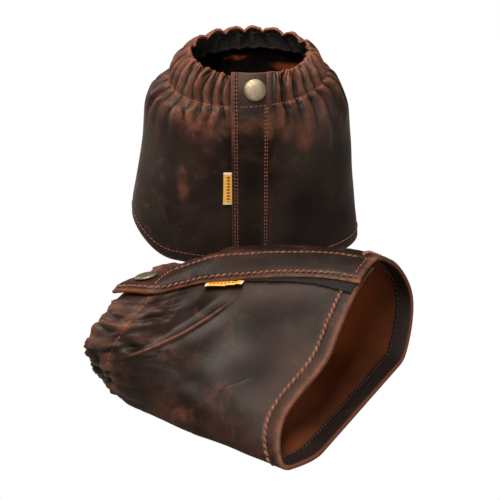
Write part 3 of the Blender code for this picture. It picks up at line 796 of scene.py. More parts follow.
def wall_faces(outer_rows, inner_rows):
    """Faces of a closed wall: down the outer rows, up the inner rows, and a cap at each end."""
    rows = list(outer_rows) + list(inner_rows)
    faces, firsts = joined_rows(rows, closed=True)
    counts = [len(row) for row in rows]
    for last in (False, True):
        ends = [int(firsts[k]) + (counts[k] - 1 if last else 0) for k in range(len(rows))]
        half = len(outer_rows)
        outer_ends, inner_ends = ends[:half], ends[half:][::-1]
        faces += zip_strip(outer_ends, inner_ends)
    return faces


def zip_strip(left, right):
    """Quads and triangles between two chains of points that start and end side by side."""
    faces = []
    i = j = 0
    while i < len(left) - 1 or j < len(right) - 1:
        take_left = j >= len(right) - 1 or (
            i < len(left) - 1 and (i + 1) / (len(left) - 1) <= (j + 1) / (len(right) - 1)
        )
        if take_left:
            faces.append([left[i], left[i + 1], right[j]])
            i += 1
        else:
            faces.append([left[i], right[j + 1], right[j]])
            j += 1
    return faces


def slab(top, foot):
    """Points and faces of a thin closed sheet between two grids of points."""
    n = top.shape[1]
    rows = [top[:, k] for k in range(n)] + [foot[:, k] for k in range(n)][::-1]
    return np.concatenate(rows), wall_faces(rows[:n], rows[n:])


# %% The leather of each gaiter
FINE_END = FLAP_END + 1.0


def leather_columns():
    """Places round the panel: four to a millimetre over the flap's seams, two elsewhere."""
    flap = np.linspace(FLAP_EDGE, FINE_END, 105)[:-1]
    return np.concatenate([flap, np.linspace(FINE_END, UNDERLAP_END, 835)])


# down, at each row of points in the casing: closest at the rim and at the stitches
CASING_ROWS = np.array([
    0.0, 0.3, 0.8, 1.6, 2.6, 3.8, 5.0, 6.3, 7.7, 9.2, 10.8, 12.4, 14.0, 15.6, 17.2, 18.8,
    20.3, 21.7, 22.9, 23.9, 24.6, 25.2, 25.9, 26.8, 28.0, 29.6, 31.4, 33.2,
])
# levels, and how far the rim's bead is rounded off at each, as a share of its thickness
RIM_BEAD = ((0.0, 0.3, 0.8, 1.6), (0.36, 0.15, 0.04, 0.0))
# up from the hem, at the rows of points just above its fold
HEM_ROWS = np.array([15.0, 13.6, 12.7, 12.0, 11.3, 10.6, 9.9, 9.0, 7.6, 6.0, 4.4, 2.9])
# the hem's fold: up from the hem, depth under the outer face
HEM_CURVE = ((1.7, 0.0), (0.9, 0.18), (0.35, 0.6), (0.08, 1.05), (0.0, 1.55))


def wall_depth(around, level):
    """Thickness of the leather: folded double at the flap's free edge and in the rim's bead."""
    folded_edge = 0.9 * smooth((108.0 - around) / 2.0)
    return LEATHER + folded_edge + 1.0 * bell(level, 2.4) * gathered(around)


def casing_down(name, around, level):
    """Down at a row of the casing, where the rim's own edge moves the rows near it."""
    return level + rim_level(name, around) * (1.0 - level / CASING_ROWS[-1])


def leather_rows(name):
    """Levels and depths of the outer and inner rows, as (columns, down, depth under the face)."""
    fine = leather_columns()
    coarse = fine[::2]
    hem = cut_drop(coarse)
    rows = []
    for level in CASING_ROWS:
        depth = float(np.interp(level, *RIM_BEAD)) * wall_depth(fine, level)
        rows.append((fine, casing_down(name, fine, level), depth))
    for share in np.linspace(0.0, 1.0, 60)[1:-1]:
        down = CASING_ROWS[-1] + share * (hem - HEM_ROWS[0] - CASING_ROWS[-1])
        rows.append((coarse, down, np.zeros_like(coarse)))
    for gap in HEM_ROWS:
        rows.append((coarse, hem - gap, np.zeros_like(coarse)))
    for gap, depth in HEM_CURVE:
        rows.append((coarse, hem - gap, np.full_like(coarse, depth)))
    outer_count = len(rows)
    thick = wall_depth(coarse, LONG_DROP)
    for gap in (0.5, 2.0, 6.0, TURN_WIDTH):
        rows.append((coarse, hem - gap, thick))
    for share in np.linspace(1.0, 0.0, 34)[1:]:
        down = CASING_ROWS[-1] + share * (hem - TURN_WIDTH - CASING_ROWS[-1])
        rows.append((coarse, down, thick))
    for level in [*CASING_ROWS[-2:4:-2], *CASING_ROWS[4::-1]]:
        share = 1.0 - float(np.interp(level, *RIM_BEAD))
        rows.append((coarse, casing_down(name, coarse, level), share * wall_depth(coarse, level)))
    return rows, outer_count


# patches inside the standing gaiter that the painted shade leaves out: around, down, half width, half
# length
UNSHADED_PLACES = ((328.0, 37.0, 10.0, 3.0), (282.0, 46.0, 16.0, 5.0))


def painted_shade_inside(around, down):
    """Painted shade inside the standing gaiter: black, save two patches below the elastic and its
    lower part.
    """
    unshaded = sum(
        0.8 * bell(around - middle_x, half_x) * bell(down - middle_y, half_y)
        for middle_x, middle_y, half_x, half_y in UNSHADED_PLACES
    )
    return np.clip(1.4 - 2.2 * unshaded, 0.0, 1.4) * smooth((95.0 - down) / 30.0)


def add_leather(name):
    """The panel: its outer face has the whole relief, and the inner face follows it inside."""
    surface = surfaces[name]
    rows, outer_count = leather_rows(name)
    points, arounds, downs, wear_and_painted_lights, flesh, edges = [], [], [], [], [], []
    for k, (around, down, depth) in enumerate(rows):
        height, wear_and_painted_light = outer_relief(name, around, down)
        points.append(surface.at(around, down, height - depth))
        arounds.append(around)
        downs.append(down)
        wear_and_painted_lights.append(wear_and_painted_light)
        back = rim_back(name, around)
        inside = smooth((down - rim_level(name, around) - 2.6 - 5.0 * back) / 1.0)
        flesh.append(inside * (0.0 if k < outer_count else 1.0))
        if k >= outer_count and name == "standing":
            # inside the standing gaiter the flesh gets painted shade, near black
            wear_and_painted_lights[-1] = wear_and_painted_light * (1.0 - inside) - painted_shade_inside(around, down) * inside
        rim_edge = 0.6 * bell(down - rim_level(name, around), 0.6 + 1.2 * back)
        flap_edge = (around < FLAP_EDGE + 0.3) * FLAP_EDGE_WEAR[name]
        edges.append(np.clip(rim_edge + flap_edge, 0.0, 1.0))
    faces = wall_faces(points[:outer_count], points[outer_count:])
    hems = np.concatenate([cut_drop(a) - d for a, d in zip(arounds, downs)])
    attributes = {
        "around": np.concatenate(arounds) * MM,
        "down": np.concatenate(downs) * MM,
        "hem_gap": hems * MM,
        "wear_and_painted_light": np.concatenate(wear_and_painted_lights),
        "flesh": np.concatenate(flesh),
        "edge": np.concatenate(edges),
    }
    return add_piece(name + "_leather", np.concatenate(points), faces, attributes)


leathers = {name: add_leather(name) for name in surfaces}

# %% [markdown]
# The hem is a fold: the leather goes round the edge and 12 mm up the inside, where it is sewn. The
# turned part shows its dark waxed face inside the lying gaiter. It is its own node in the CAD, so
# it is its own piece here, and its lower edge curves to meet the outer leather in one round fold.


# %% The hem's turning
TURN_BACK = 1.62  # depth of the face that lies against the panel
TURN_FACE = 3.3  # depth of the face to the leg
# the turning's rounded foot: up from the hem, depth under the outer face
TURN_CURVE = ((0.0, 1.6), (0.08, 2.2), (0.35, 2.75), (0.9, 3.15), (1.8, TURN_FACE))
TURN_SEAM = 10.4  # up from the hem


def add_turning(name):
    """A strip inside the hem: a face against the panel, a rounded foot and a face to the leg."""
    surface = surfaces[name]
    around = leather_columns()[::2]
    around = around[around > FLAP_END + 3.0]
    hem = cut_drop(around)
    uneven = 0.35 * soft_noise(around / 17.0, 0.0, 41)
    rows = []
    for gap in (TURN_WIDTH, 8.0, 4.0, 1.2, 0.35):
        rows.append((hem - gap - (uneven if gap == TURN_WIDTH else 0.0), TURN_BACK))
    outer_count = len(rows)
    for gap, depth in TURN_CURVE:
        rows.append((hem - gap, depth))
    for gap in (3.0, 4.5, 6.0, 7.5, 9.0, 10.0, 10.9, 11.4):
        groove = 0.25 * bell(gap - TURN_SEAM, 0.7)
        rows.append((hem - gap, TURN_FACE - groove))
    rows.append((hem - 11.9 - uneven, 3.05))
    rows.append((hem - 12.1 - uneven, 2.4))
    points, gaps = [], []
    for down, depth in rows:
        height, _ = outer_relief(name, around, down)
        soft = 0.25 * soft_noise(around / 9.0, down / 6.0, 43) * (depth > 2.9)
        points.append(surface.at(around, down, height - depth + soft))
        gaps.append(hem - down)
    faces = wall_faces(points[:outer_count], points[outer_count:])
    attributes = {
        "around": np.tile(around, len(rows)) * MM,
        "hem_gap": np.concatenate(gaps) * MM,
    }
    return add_piece(name + "_turning", np.concatenate(points), faces, attributes)


turnings = {name: add_turning(name) for name in surfaces}

# %% [markdown]
# The elastic is sewn to the inside of the leather while it is stretched, so it follows every
# gather. Here it is the leather's own inner face, moved in by the elastic's thickness.


# %% The elastic band
# down, at each row of points, and how deep its two faces lie under the leather's outer face
ELASTIC_ROWS = (2.4, 2.8, 4.0, 5.5, 7.0, 9.0, 11.0, 13.0, 15.0, 17.0, 19.0, 21.0, 22.6, 24.0)
ELASTIC_BACK = LEATHER + 0.12
ELASTIC_FACE = LEATHER + 1.15
RIB_HEIGHT = 0.2


def add_elastic(name):
    """A band inside the casing, from just under the rim to the casing's stitches."""
    surface = surfaces[name]
    around = np.linspace(GATHER_START - 1.0, HEM_ROUND + FLAP_EDGE + 6.0, 781)
    rows = [(level, ELASTIC_BACK) for level in ELASTIC_ROWS]
    for level in ELASTIC_ROWS[::-1]:
        rows.append((level, ELASTIC_FACE + RIB_HEIGHT * np.sin(level * 1.1)))
    points, downs = [], []
    for level, depth in rows:
        rolled = 5.0 * rim_back(name, around) * smooth((12.0 - level) / 12.0)
        down = casing_down(name, around, level) + rolled
        height, _ = outer_relief(name, around, down)
        points.append(surface.at(around, down, height - depth))
        downs.append(np.full_like(around, level))
    faces = wall_faces(points[:len(ELASTIC_ROWS)], points[len(ELASTIC_ROWS):])
    attributes = {
        "around": np.tile(around, len(rows)) * MM,
        "down": np.concatenate(downs) * MM,
    }
    return add_piece(name + "_elastic_band", np.concatenate(points), faces, attributes)


elastics = {name: add_elastic(name) for name in surfaces}

# %% [markdown]
# Hook and loop tape closes the flap. On the lying gaiter its loop half comes out from under the
# flap's edge towards the hem, with a frayed edge.

# %% The tapes
TAPE_NEAR = 108.0  # around, at the tape's left edge before it is shifted
TAPE_FAR = 123.0
TAPE_THICK = 0.9
# height of each tape's top over the leg's surface
HOOK_OUT = 2.7
LOOP_OUT = 1.3
# how far each tape's left edge is out of line, from its top end to the hem
TAPE_SHIFTS = {
    "hook": (1.0, 1.0, 1.0, 1.0, 1.0),
    "standing_loop": (1.0, 1.0, 1.0, 1.0, 1.0),
    "lying_loop": (1.0, 7.4, 9.0, 11.0, 14.0),
}


def add_tape(name, gaiter, out, shifts, hem_gap):
    """A strip along the closure; the shifts move its left edge out from under the flap."""
    surface = surfaces[gaiter]
    shares = np.linspace(0.0, 1.0, 90)
    shift = np.interp(shares, np.linspace(0.0, 1.0, len(shifts)), shifts)
    shift = shift + 0.3 * soft_noise(shares * 90.0, 0.0, 51)
    across = np.linspace(0.0, 1.0, 33)[None, :]
    left = (TAPE_NEAR - shift)[:, None]
    around = left + across * (TAPE_FAR - left)
    hem = cut_drop(around) - hem_gap
    down = BODY_TOP + shares[:, None] * (hem - BODY_TOP)
    lift = np.where(around > FLAP_EDGE, 0.0, 0.15)
    fuzz = 0.22 * soft_noise(around * 1.7, down * 1.7, 52)
    top = surface.at(around, down, out + lift + fuzz)
    foot = surface.at(around, down, out + lift - TAPE_THICK)
    return add_piece(name, *slab(top, foot))


tapes = {}
for gaiter in surfaces:
    hook = add_tape(gaiter + "_hook", gaiter, HOOK_OUT, TAPE_SHIFTS["hook"], TURN_WIDTH)
    loop = add_tape(gaiter + "_loop", gaiter, LOOP_OUT, TAPE_SHIFTS[gaiter + "_loop"], 3.0)
    tapes[gaiter] = (hook, loop)

# %% [markdown]
# A snap cap is a stamped dome with a rolled rim. It is a profile turned about the normal of the
# flap's tab, as the real one is pressed from a disc.

# %% The snap's cap
SNAP_AROUND = FLAP_EDGE + 15.0
SNAP_DOWN = 13.5
SNAP_SPREAD = 6.0  # the tab's normal is taken between places this far from the snap's middle
# radius and height of the profile, from the middle of the dome to the middle of the base
CAP_PROFILE = (
    (0.0, 2.62),
    (1.4, 2.6),
    (2.9, 2.5),
    (4.3, 2.32),
    (5.5, 2.06),
    (6.4, 1.76),
    (6.9, 1.5),
    (7.2, 1.36),
    (7.42, 1.12),
    (7.5, 0.78),
    (7.42, 0.42),
    (7.15, 0.14),
    (6.6, 0.0),
    (3.0, 0.0),
)


def add_cap(name):
    """The profile, made smooth and turned about the tab's normal."""
    surface = surfaces[name]
    around = SNAP_AROUND + SNAP_SPREAD * np.array([0.0, 1.0, -1.0, 0.0, 0.0])
    down = SNAP_DOWN + SNAP_SPREAD * np.array([0.0, 0.0, 0.0, 1.0, -1.0])
    height, _ = outer_relief(name, around, down)
    spots = surface.at(around, down, height)
    up = np.cross(spots[3] - spots[4], spots[1] - spots[2])
    up = up / np.linalg.norm(up)
    base = spots[0] + 0.15 * up
    side = np.cross(up, (0.0, 0.0, 1.0))
    side = side / np.linalg.norm(side)
    front = np.cross(side, up)
    profile = np.array(CAP_PROFILE)
    at = np.arange(len(profile))
    fine = np.linspace(0.0, len(profile) - 1.0, 40)[1:]
    radius, height = (np.interp(fine, at, profile[:, k]) for k in (0, 1))
    turn = np.linspace(0.0, 2 * np.pi, 64, endpoint=False)
    ring = np.cos(turn)[:, None] * side + np.sin(turn)[:, None] * front
    body = base + radius[:, None, None] * ring + height[:, None, None] * up
    n, m = len(fine), len(turn)
    points = np.concatenate([body.reshape(-1, 3), [base + profile[0, 1] * up], [base]])
    i, j = np.meshgrid(np.arange(n - 1), np.arange(m), indexing="ij")
    a, b = i * m + j, i * m + (j + 1) % m
    faces = np.stack([a, a + m, b + m, b], axis=-1).reshape(-1, 4).tolist()
    faces += [[n * m, k, (k + 1) % m] for k in range(m)]
    faces += [[n * m + 1, (n - 1) * m + (k + 1) % m, (n - 1) * m + k] for k in range(m)]
    return add_piece(name + "_cap", points, faces)


caps = {name: add_cap(name) for name in surfaces}

# %% [markdown]
# A small woven tag is caught in the flap's seam. The real one carries a name, which is left off:
# this one has a plain ground and a row of small woven lozenges.

# %% The woven tag
LABEL_TOP = {"standing": 83.0, "lying": 61.0}  # down, at its upper end
LABEL_BOW = {"standing": 0.5, "lying": 3.4}  # how far its free side stands off the leather
LABEL_LENGTH = 25.0
LABEL_OUT = 6.5  # past the flap's free edge
LABEL_IN = 2.5  # under the flap
LABEL_THICK = 0.9


def add_label(name):
    """A folded strip: flat, slightly bowed away from the leather at its free side."""
    surface = surfaces[name]
    across = np.linspace(-LABEL_OUT, LABEL_IN, 19)[None, :]
    length = np.linspace(0.0, LABEL_LENGTH, 51)[:, None]
    slant = 0.35 * (0.5 - length / LABEL_LENGTH)
    around = FLAP_EDGE + across + slant
    down = LABEL_TOP[name] + length + 0.0 * across
    free = np.clip(-across, 0.0, None) / LABEL_OUT
    bow = LABEL_BOW[name] * free**1.3 * (1.0 + 0.15 * np.cos(length / 4.0))
    height = 1.2 + bow
    top = surface.at(around, down, height)
    foot = surface.at(around, down, height - LABEL_THICK)
    points, faces = slab(top, foot)
    along = np.tile(length[:, 0], 2 * top.shape[1])
    side = np.repeat(np.concatenate([across[0], across[0][::-1]]), len(length))
    attributes = {"along": along * MM, "across": (side + LABEL_OUT) * MM}
    return add_piece(name + "_tag", points, faces, attributes)


labels = {name: add_label(name) for name in surfaces}

# %% [markdown]
# Each stitch is a short plump piece of thread whose ends dive into the leather. All stitches of a
# gaiter are one mesh: a small template of a few faces, copied along each row as whole arrays.


# %% Stitches
THREAD = 0.46
# stitches under the lying gaiter are pressed flat at this height
PRESSED = -0.05
STITCH_SIDES = 6
STITCH_RINGS = 6
# rows along the flap: around, pitch, radius in threads, length as a share of the pitch, slant
FLAP_STITCHES = {
    "standing": (
        (104.0, 2.6, 1.0, 0.8, 0.0),
        (105.7, 2.6, 1.0, 0.8, 0.0),
        (123.6, 2.7, 1.0, 0.8, 0.0),
        (125.0, 2.7, 1.0, 0.8, 0.0),
    ),
    "lying": (
        (105.2, 3.9, 1.6, 1.05, 0.9),
        (124.3, 3.9, 1.35, 1.0, 0.7),
    ),
}
# the row above the hem: up from the hem, then as above
HEM_STITCHES = {
    "standing": (8.0, 3.2, 1.0, 0.95, 0.6),
    "lying": (HEM_SEAM, 4.1, 2.5, 1.2, 1.5),
}


def stitch_places(points, normals, pitch, share):
    """Start, end and normal of each stitch along a line: one each pitch, with gaps between."""
    run = run_along(points)
    count = max(1, int(run[-1] / pitch))
    middles = (np.arange(count) + 0.5) * run[-1] / count
    half = 0.5 * share * run[-1] / count
    starts, ends = (points_at(middles + reach, run, points) for reach in (-half, half))
    return starts, ends, points_at(middles, run, normals)


def stitch_mesh(starts, ends, ups, radius, slant):
    """A bowed capsule from each start to its end: rings of points round a line that arches up."""
    along = ends - starts
    length = np.linalg.norm(along, axis=1, keepdims=True)
    along = along / length
    side = np.cross(ups, along)
    side = side / np.linalg.norm(side, axis=1, keepdims=True)
    top = np.cross(along, side)
    t = np.linspace(0.0, 1.0, STITCH_RINGS)[None, :, None, None]
    turn = np.linspace(0.0, 2 * np.pi, STITCH_SIDES, endpoint=False)[None, None, :, None]
    swell = 0.25 + 0.75 * np.sin(np.pi * (0.08 + 0.84 * t)) ** 0.6
    arch = (np.sin(np.pi * t) - 0.55) * radius * 1.3
    shift = slant * (t - 0.5)
    spine = starts[:, None, None] + along[:, None, None] * length[:, None, None] * t
    spine = spine + top[:, None, None] * arch + side[:, None, None] * shift
    rings = side[:, None, None] * np.cos(turn) + top[:, None, None] * np.sin(turn)
    points = spine + rings * radius * swell
    n, r, s = len(starts), STITCH_RINGS, STITCH_SIDES
    template = np.arange(r * s).reshape(r, s)
    a, b = template[:-1], template[1:]
    quads = np.stack([a, b, np.roll(b, -1, axis=1), np.roll(a, -1, axis=1)], axis=-1).reshape(-1, 4)
    first = (np.arange(n) * r * s)[:, None, None]
    faces = (quads[None] + first).reshape(-1, 4).tolist()
    caps_a = (template[0][::-1][None] + first[:, 0]).tolist()
    caps_b = (template[-1][None] + first[:, 0]).tolist()
    return points.reshape(-1, 3), faces + caps_a + caps_b


def row_of_stitches(name, around, down, pitch, radius, share=0.8, slant=0.0, depth=0.0):
    """Stitches along a line of the pattern, on the leather's outer face or at a depth inside."""
    surface = surfaces[name]
    around, down = np.broadcast_arrays(np.asarray(around, float), np.asarray(down, float))
    height, _ = outer_relief(name, around, down)
    points = surface.at(around, down, height - depth)
    normals = surface.mixed(surface.normals, around, down)
    starts, ends, ups = stitch_places(points, normals, pitch, share)
    ups = ups * (-1.0 if depth > LEATHER else 1.0)
    return stitch_mesh(starts, ends, ups, radius, slant)


def joined(parts):
    """Several meshes as one list of points and faces."""
    points, faces, first = [], [], 0
    for part_points, part_faces in parts:
        points.append(part_points)
        faces += [[index + first for index in face] for face in part_faces]
        first += len(part_points)
    return np.concatenate(points), faces


def add_stitches(name):
    """All rows in rust thread on the outside: fine ones on the standing gaiter, thick on the other."""
    flap_down = np.linspace(1.5, LONG_DROP - 1.2, 640)
    inner_down = np.linspace(CASING_DROP + 1.5, LONG_DROP - 12.0, 540)
    all_round = np.linspace(FLAP_END + 1.0, HEM_ROUND + FLAP_EDGE - 0.5, 1600)
    tab = np.linspace(FLAP_EDGE + 5.5, FLAP_END - 2.0, 90)
    sunk = 0.0 if name == "standing" else 0.35
    casing_line = CASING_DROP + 0.3
    rows = [
        row_of_stitches(name, all_round, casing_line, 3.2, THREAD, 0.85, 0.5, sunk),
        row_of_stitches(name, tab, casing_line, 2.9, THREAD, 0.9),
        row_of_stitches(name, tab, LONG_DROP - 5.5, 3.4, THREAD, 0.9),
    ]
    for place, pitch, thick, share, slant in FLAP_STITCHES[name]:
        down = flap_down if place < SNAP_AROUND else inner_down
        rows.append(row_of_stitches(name, place, down, pitch, thick * THREAD, share, slant))
    up, pitch, thick, share, slant = HEM_STITCHES[name]
    hem_line = cut_drop(all_round) - up
    rows.append(row_of_stitches(name, all_round, hem_line, pitch, thick * THREAD, share, slant))
    points, faces = joined(rows)
    points[:, 2] = np.maximum(points[:, 2], PRESSED)
    return add_piece(name + "_stitches", points, faces)


def add_inner_stitches(name):
    """The under thread is black: it shows on the turning inside the hem."""
    around = np.linspace(FLAP_END + 4.0, HEM_ROUND + FLAP_EDGE - 1.0, 1600)
    down = cut_drop(around) - TURN_SEAM
    points, faces = row_of_stitches(name, around, down, 3.6, THREAD, 0.62, 0.3, depth=3.2)
    return add_piece(name + "_under_stitches", points, faces)


stitches = {name: add_stitches(name) for name in surfaces}
under_stitches = {name: add_inner_stitches(name) for name in surfaces}

# %% [markdown]
# Waxed pull-up leather is nearly black where it is untouched, grey where the wax blooms, and red
# to orange brown where it is bent or rubbed. Its colour therefore comes from two places: large
# soft clouds of noise, and the value that the relief worked out for every point of the mesh. That
# value holds the wear, and it also holds painted light: painted shade in the valleys, the slits and
# inside the standing gaiter, and painted highlights in some placed patches.


# %% Helpers for node trees
def new_material(name):
    """A node material and its Principled shader."""
    material = bpy.data.materials.new(name)
    material.use_nodes = True
    return material, material.node_tree, material.node_tree.nodes["Principled BSDF"]


def feed(tree, socket, source):
    """Gives a socket a number or an RGB triple, or links another socket to it."""
    if isinstance(source, tuple):
        socket.default_value = source + (1.0,)
    elif isinstance(source, (int, float)):
        socket.default_value = source
    else:
        tree.links.new(source, socket)


def value_node(tree, operation, *sources, clamp=False):
    """A Math node whose inputs are numbers or sockets."""
    node = tree.nodes.new("ShaderNodeMath")
    node.operation = operation
    node.use_clamp = clamp
    for socket, source in zip(node.inputs, sources):
        feed(tree, socket, source)
    return node.outputs[0]


def distance_from(tree, value, middle):
    """How far a value is from a middle, whichever side it is on."""
    return value_node(tree, "ABSOLUTE", value_node(tree, "SUBTRACT", value, middle))


def wave(tree, value, pitch):
    """A sine wave that repeats at each pitch."""
    return value_node(tree, "SINE", value_node(tree, "MULTIPLY", value, 2 * math.pi / pitch))


def ranged(tree, value, low, high, bottom=0.0, top=1.0):
    """The value mapped smoothly from low..high to bottom..top."""
    node = tree.nodes.new("ShaderNodeMapRange")
    node.interpolation_type = "SMOOTHSTEP"
    for socket, source in zip(node.inputs, (value, low, high, bottom, top)):
        feed(tree, socket, source)
    return node.outputs["Result"]


def mixed_colour(tree, factor, first, second):
    """A mix of two colours, each a socket or an RGB triple."""
    node = tree.nodes.new("ShaderNodeMix")
    node.data_type = "RGBA"
    for index, source in ((0, factor), (6, first), (7, second)):
        feed(tree, node.inputs[index], source)
    return node.outputs[2]


def attribute(tree, name):
    """A value that the mesh carries at each point."""
    node = tree.nodes.new("ShaderNodeAttribute")
    node.attribute_name = name
    return node.outputs["Fac"]


def object_place(tree):
    """The place on the object, in metres."""
    return tree.nodes.new("ShaderNodeTexCoord").outputs["Object"]


def noise(tree, place, scale, detail=3.0, roughness=0.5, distortion=0.0):
    """Cloudy noise from 0 to 1."""
    node = tree.nodes.new("ShaderNodeTexNoise")
    keys = ("Vector", "Scale", "Detail", "Roughness", "Distortion")
    for key, source in zip(keys, (place, scale, detail, roughness, distortion)):
        feed(tree, node.inputs[key], source)
    return node.outputs["Fac"]


def cells(tree, place, scale, feature="F1"):
    """Distance from the middle of the nearest of many small cells."""
    node = tree.nodes.new("ShaderNodeTexVoronoi")
    node.feature = feature
    feed(tree, node.inputs["Vector"], place)
    feed(tree, node.inputs["Scale"], scale)
    return node.outputs["Distance"]


def dress_shader(tree, shader, colour, roughness, height, distance, strength):
    """Gives the shader its colour and roughness, and a bump of a height over a distance."""
    feed(tree, shader.inputs["Base Color"], colour)
    feed(tree, shader.inputs["Roughness"], roughness)
    bump = tree.nodes.new("ShaderNodeBump")
    for key, source in (("Strength", strength), ("Distance", distance), ("Height", height)):
        feed(tree, bump.inputs[key], source)
    feed(tree, shader.inputs["Normal"], bump.outputs["Normal"])


def group_tree(name, inputs, outputs):
    """A node group with float inputs (name, value) and typed outputs."""
    group = bpy.data.node_groups.new(name, "ShaderNodeTree")
    for key, value in inputs:
        socket = group.interface.new_socket(name=key, in_out="INPUT", socket_type="NodeSocketFloat")
        socket.default_value = value
    for key, kind in outputs:
        group.interface.new_socket(name=key, in_out="OUTPUT", socket_type=kind)
    return group, group.nodes.new("NodeGroupInput"), group.nodes.new("NodeGroupOutput")


def placed_group(tree, group, **values):
    """A group set down in a tree, with some of its inputs changed."""
    node = tree.nodes.new("ShaderNodeGroup")
    node.node_tree = group
    for key, value in values.items():
        node.inputs[key].default_value = value
    return node


# %% [markdown]
# Grain and clouds are used by the leather and by its turning, so each is a node group with its own
# inputs. The grain is a net of tiny cells broken by noise. The clouds are noise in three sizes.


# %% Shared effects
def make_grain_group():
    """Grain height: cells 1 mm wide, roughened by finer noise, over slow swells."""
    group, start, end = group_tree(
        "leather grain",
        (("Cell scale", 1100.0), ("Swell", 0.35)),
        (("Height", "NodeSocketFloat"),),
    )
    place = object_place(group)
    bent = group.nodes.new("ShaderNodeVectorMath")
    bent.operation = "MULTIPLY_ADD"
    wobble = group.nodes.new("ShaderNodeTexNoise")
    group.links.new(place, wobble.inputs["Vector"])
    wobble.inputs["Scale"].default_value = 420.0
    bent.inputs[1].default_value = (0.0012, 0.0012, 0.0012)
    group.links.new(wobble.outputs["Color"], bent.inputs[0])
    group.links.new(place, bent.inputs[2])
    grain = cells(group, bent.outputs[0], start.outputs["Cell scale"], "SMOOTH_F1")
    fine = noise(group, place, 2600.0, 2.0)
    swell = noise(group, place, 120.0, 3.0, 0.5)
    height = value_node(group, "MULTIPLY", grain, 0.55)
    height = value_node(group, "MULTIPLY_ADD", fine, 0.25, height)
    swollen = value_node(group, "MULTIPLY", swell, start.outputs["Swell"])
    group.links.new(value_node(group, "ADD", height, swollen), end.inputs["Height"])
    return group


def make_cloud_group():
    """Three masks from 0 to 1: broad soft clouds, small rubbed specks, and the wax's grey bloom."""
    masks = [(key, "NodeSocketFloat") for key in ("Broad", "Small", "Bloom")]
    group, start, end = group_tree("wax clouds", (("Amount", 1.0),), masks)
    place = object_place(group)
    broad = ranged(group, noise(group, place, 21.0, 5.0, 0.62, 0.6), 0.42, 0.68)
    small = ranged(group, noise(group, place, 64.0, 8.0, 0.68, 0.9), 0.5, 0.74)
    bloom = ranged(group, noise(group, place, 15.0, 3.0, 0.5, 0.3), 0.48, 0.72)
    for key, mask in (("Broad", broad), ("Small", small), ("Bloom", bloom)):
        amount = value_node(group, "MULTIPLY", mask, start.outputs["Amount"])
        group.links.new(amount, end.inputs[key])
    return group


grain_group = make_grain_group()
cloud_group = make_cloud_group()
print("node groups", [group.name for group in bpy.data.node_groups])

# %% The leather's finish
DARK = (0.0105, 0.0062, 0.0047)
BROWN = (0.032, 0.0152, 0.0102)
# the near black of painted shade
SHADE_BLACK = (0.0024, 0.0011, 0.0009)
RED_BROWN = (0.1, 0.041, 0.027)
TAN = (0.22, 0.083, 0.045)
BLOOM = (0.05, 0.037, 0.032)
FLESH_DARK = (0.042, 0.0105, 0.003)
FLESH_LIGHT = (0.1, 0.026, 0.0075)
FLESH_DEEP = (0.4, 0.1, 0.028)


def make_leather():
    """Waxed leather outside and suede inside; a value below nought is painted shade, near black."""
    material, tree, shader = new_material("waxed leather")
    clouds = placed_group(tree, cloud_group)
    grain = placed_group(tree, grain_group)
    place = object_place(tree)
    wear_and_painted_light = attribute(tree, "wear_and_painted_light")
    broken = noise(tree, place, 130.0, 6.0, 0.7, 0.5)
    broken = ranged(tree, broken, 0.25, 0.7, 0.35, 1.25)
    # above nought the leather turns red and tan: rubbed wear, and painted highlights in some patches
    tint = value_node(tree, "MULTIPLY", wear_and_painted_light, broken, clamp=True)
    colour = mixed_colour(tree, clouds.outputs["Broad"], DARK, BROWN)
    bloom = value_node(tree, "MULTIPLY", clouds.outputs["Bloom"], 0.55)
    colour = mixed_colour(tree, bloom, colour, BLOOM)
    small = value_node(tree, "MULTIPLY", clouds.outputs["Small"], 0.55)
    colour = mixed_colour(tree, small, colour, RED_BROWN)
    colour = mixed_colour(tree, ranged(tree, tint, 0.05, 0.55), colour, RED_BROWN)
    colour = mixed_colour(tree, ranged(tree, tint, 0.45, 1.1), colour, TAN)
    colour = mixed_colour(tree, attribute(tree, "edge"), colour, TAN)
    nap = noise(tree, place, 700.0, 4.0, 0.7)
    patches = noise(tree, place, 60.0, 5.0, 0.6)
    patches = ranged(tree, patches, 0.2, 0.7)
    nap_mix = value_node(tree, "MULTIPLY", ranged(tree, nap, 0.3, 0.7), patches)
    suede = mixed_colour(tree, nap_mix, FLESH_DARK, FLESH_LIGHT)
    deep = ranged(tree, attribute(tree, "hem_gap"), 0.01, 0.075)
    suede = mixed_colour(tree, value_node(tree, "MULTIPLY", deep, 0.8), suede, FLESH_DEEP)
    flesh = attribute(tree, "flesh")
    colour = mixed_colour(tree, flesh, colour, suede)
    # below nought the value is painted shade: the leather goes near black and rougher
    painted_shade = value_node(tree, "MULTIPLY", wear_and_painted_light, -0.95, clamp=True)
    colour = mixed_colour(tree, painted_shade, colour, SHADE_BLACK)
    rough = value_node(tree, "MULTIPLY_ADD", clouds.outputs["Broad"], 0.1, 0.38)
    rough = value_node(tree, "MULTIPLY_ADD", painted_shade, 0.3, rough)
    rough = value_node(tree, "MULTIPLY_ADD", tint, 0.14, rough)
    rough = value_node(tree, "MAXIMUM", rough, value_node(tree, "MULTIPLY", flesh, 0.92))
    smooth_side = value_node(tree, "SUBTRACT", 1.0, flesh)
    height = value_node(tree, "MULTIPLY", grain.outputs["Height"], smooth_side)
    height = value_node(tree, "ADD", height, value_node(tree, "MULTIPLY", nap, flesh))
    dress_shader(tree, shader, colour, rough, height, 0.0005, 0.22)
    shader.inputs["Specular IOR Level"].default_value = 0.26
    shader.inputs["IOR"].default_value = 1.4
    return material


leather_finish = make_leather()


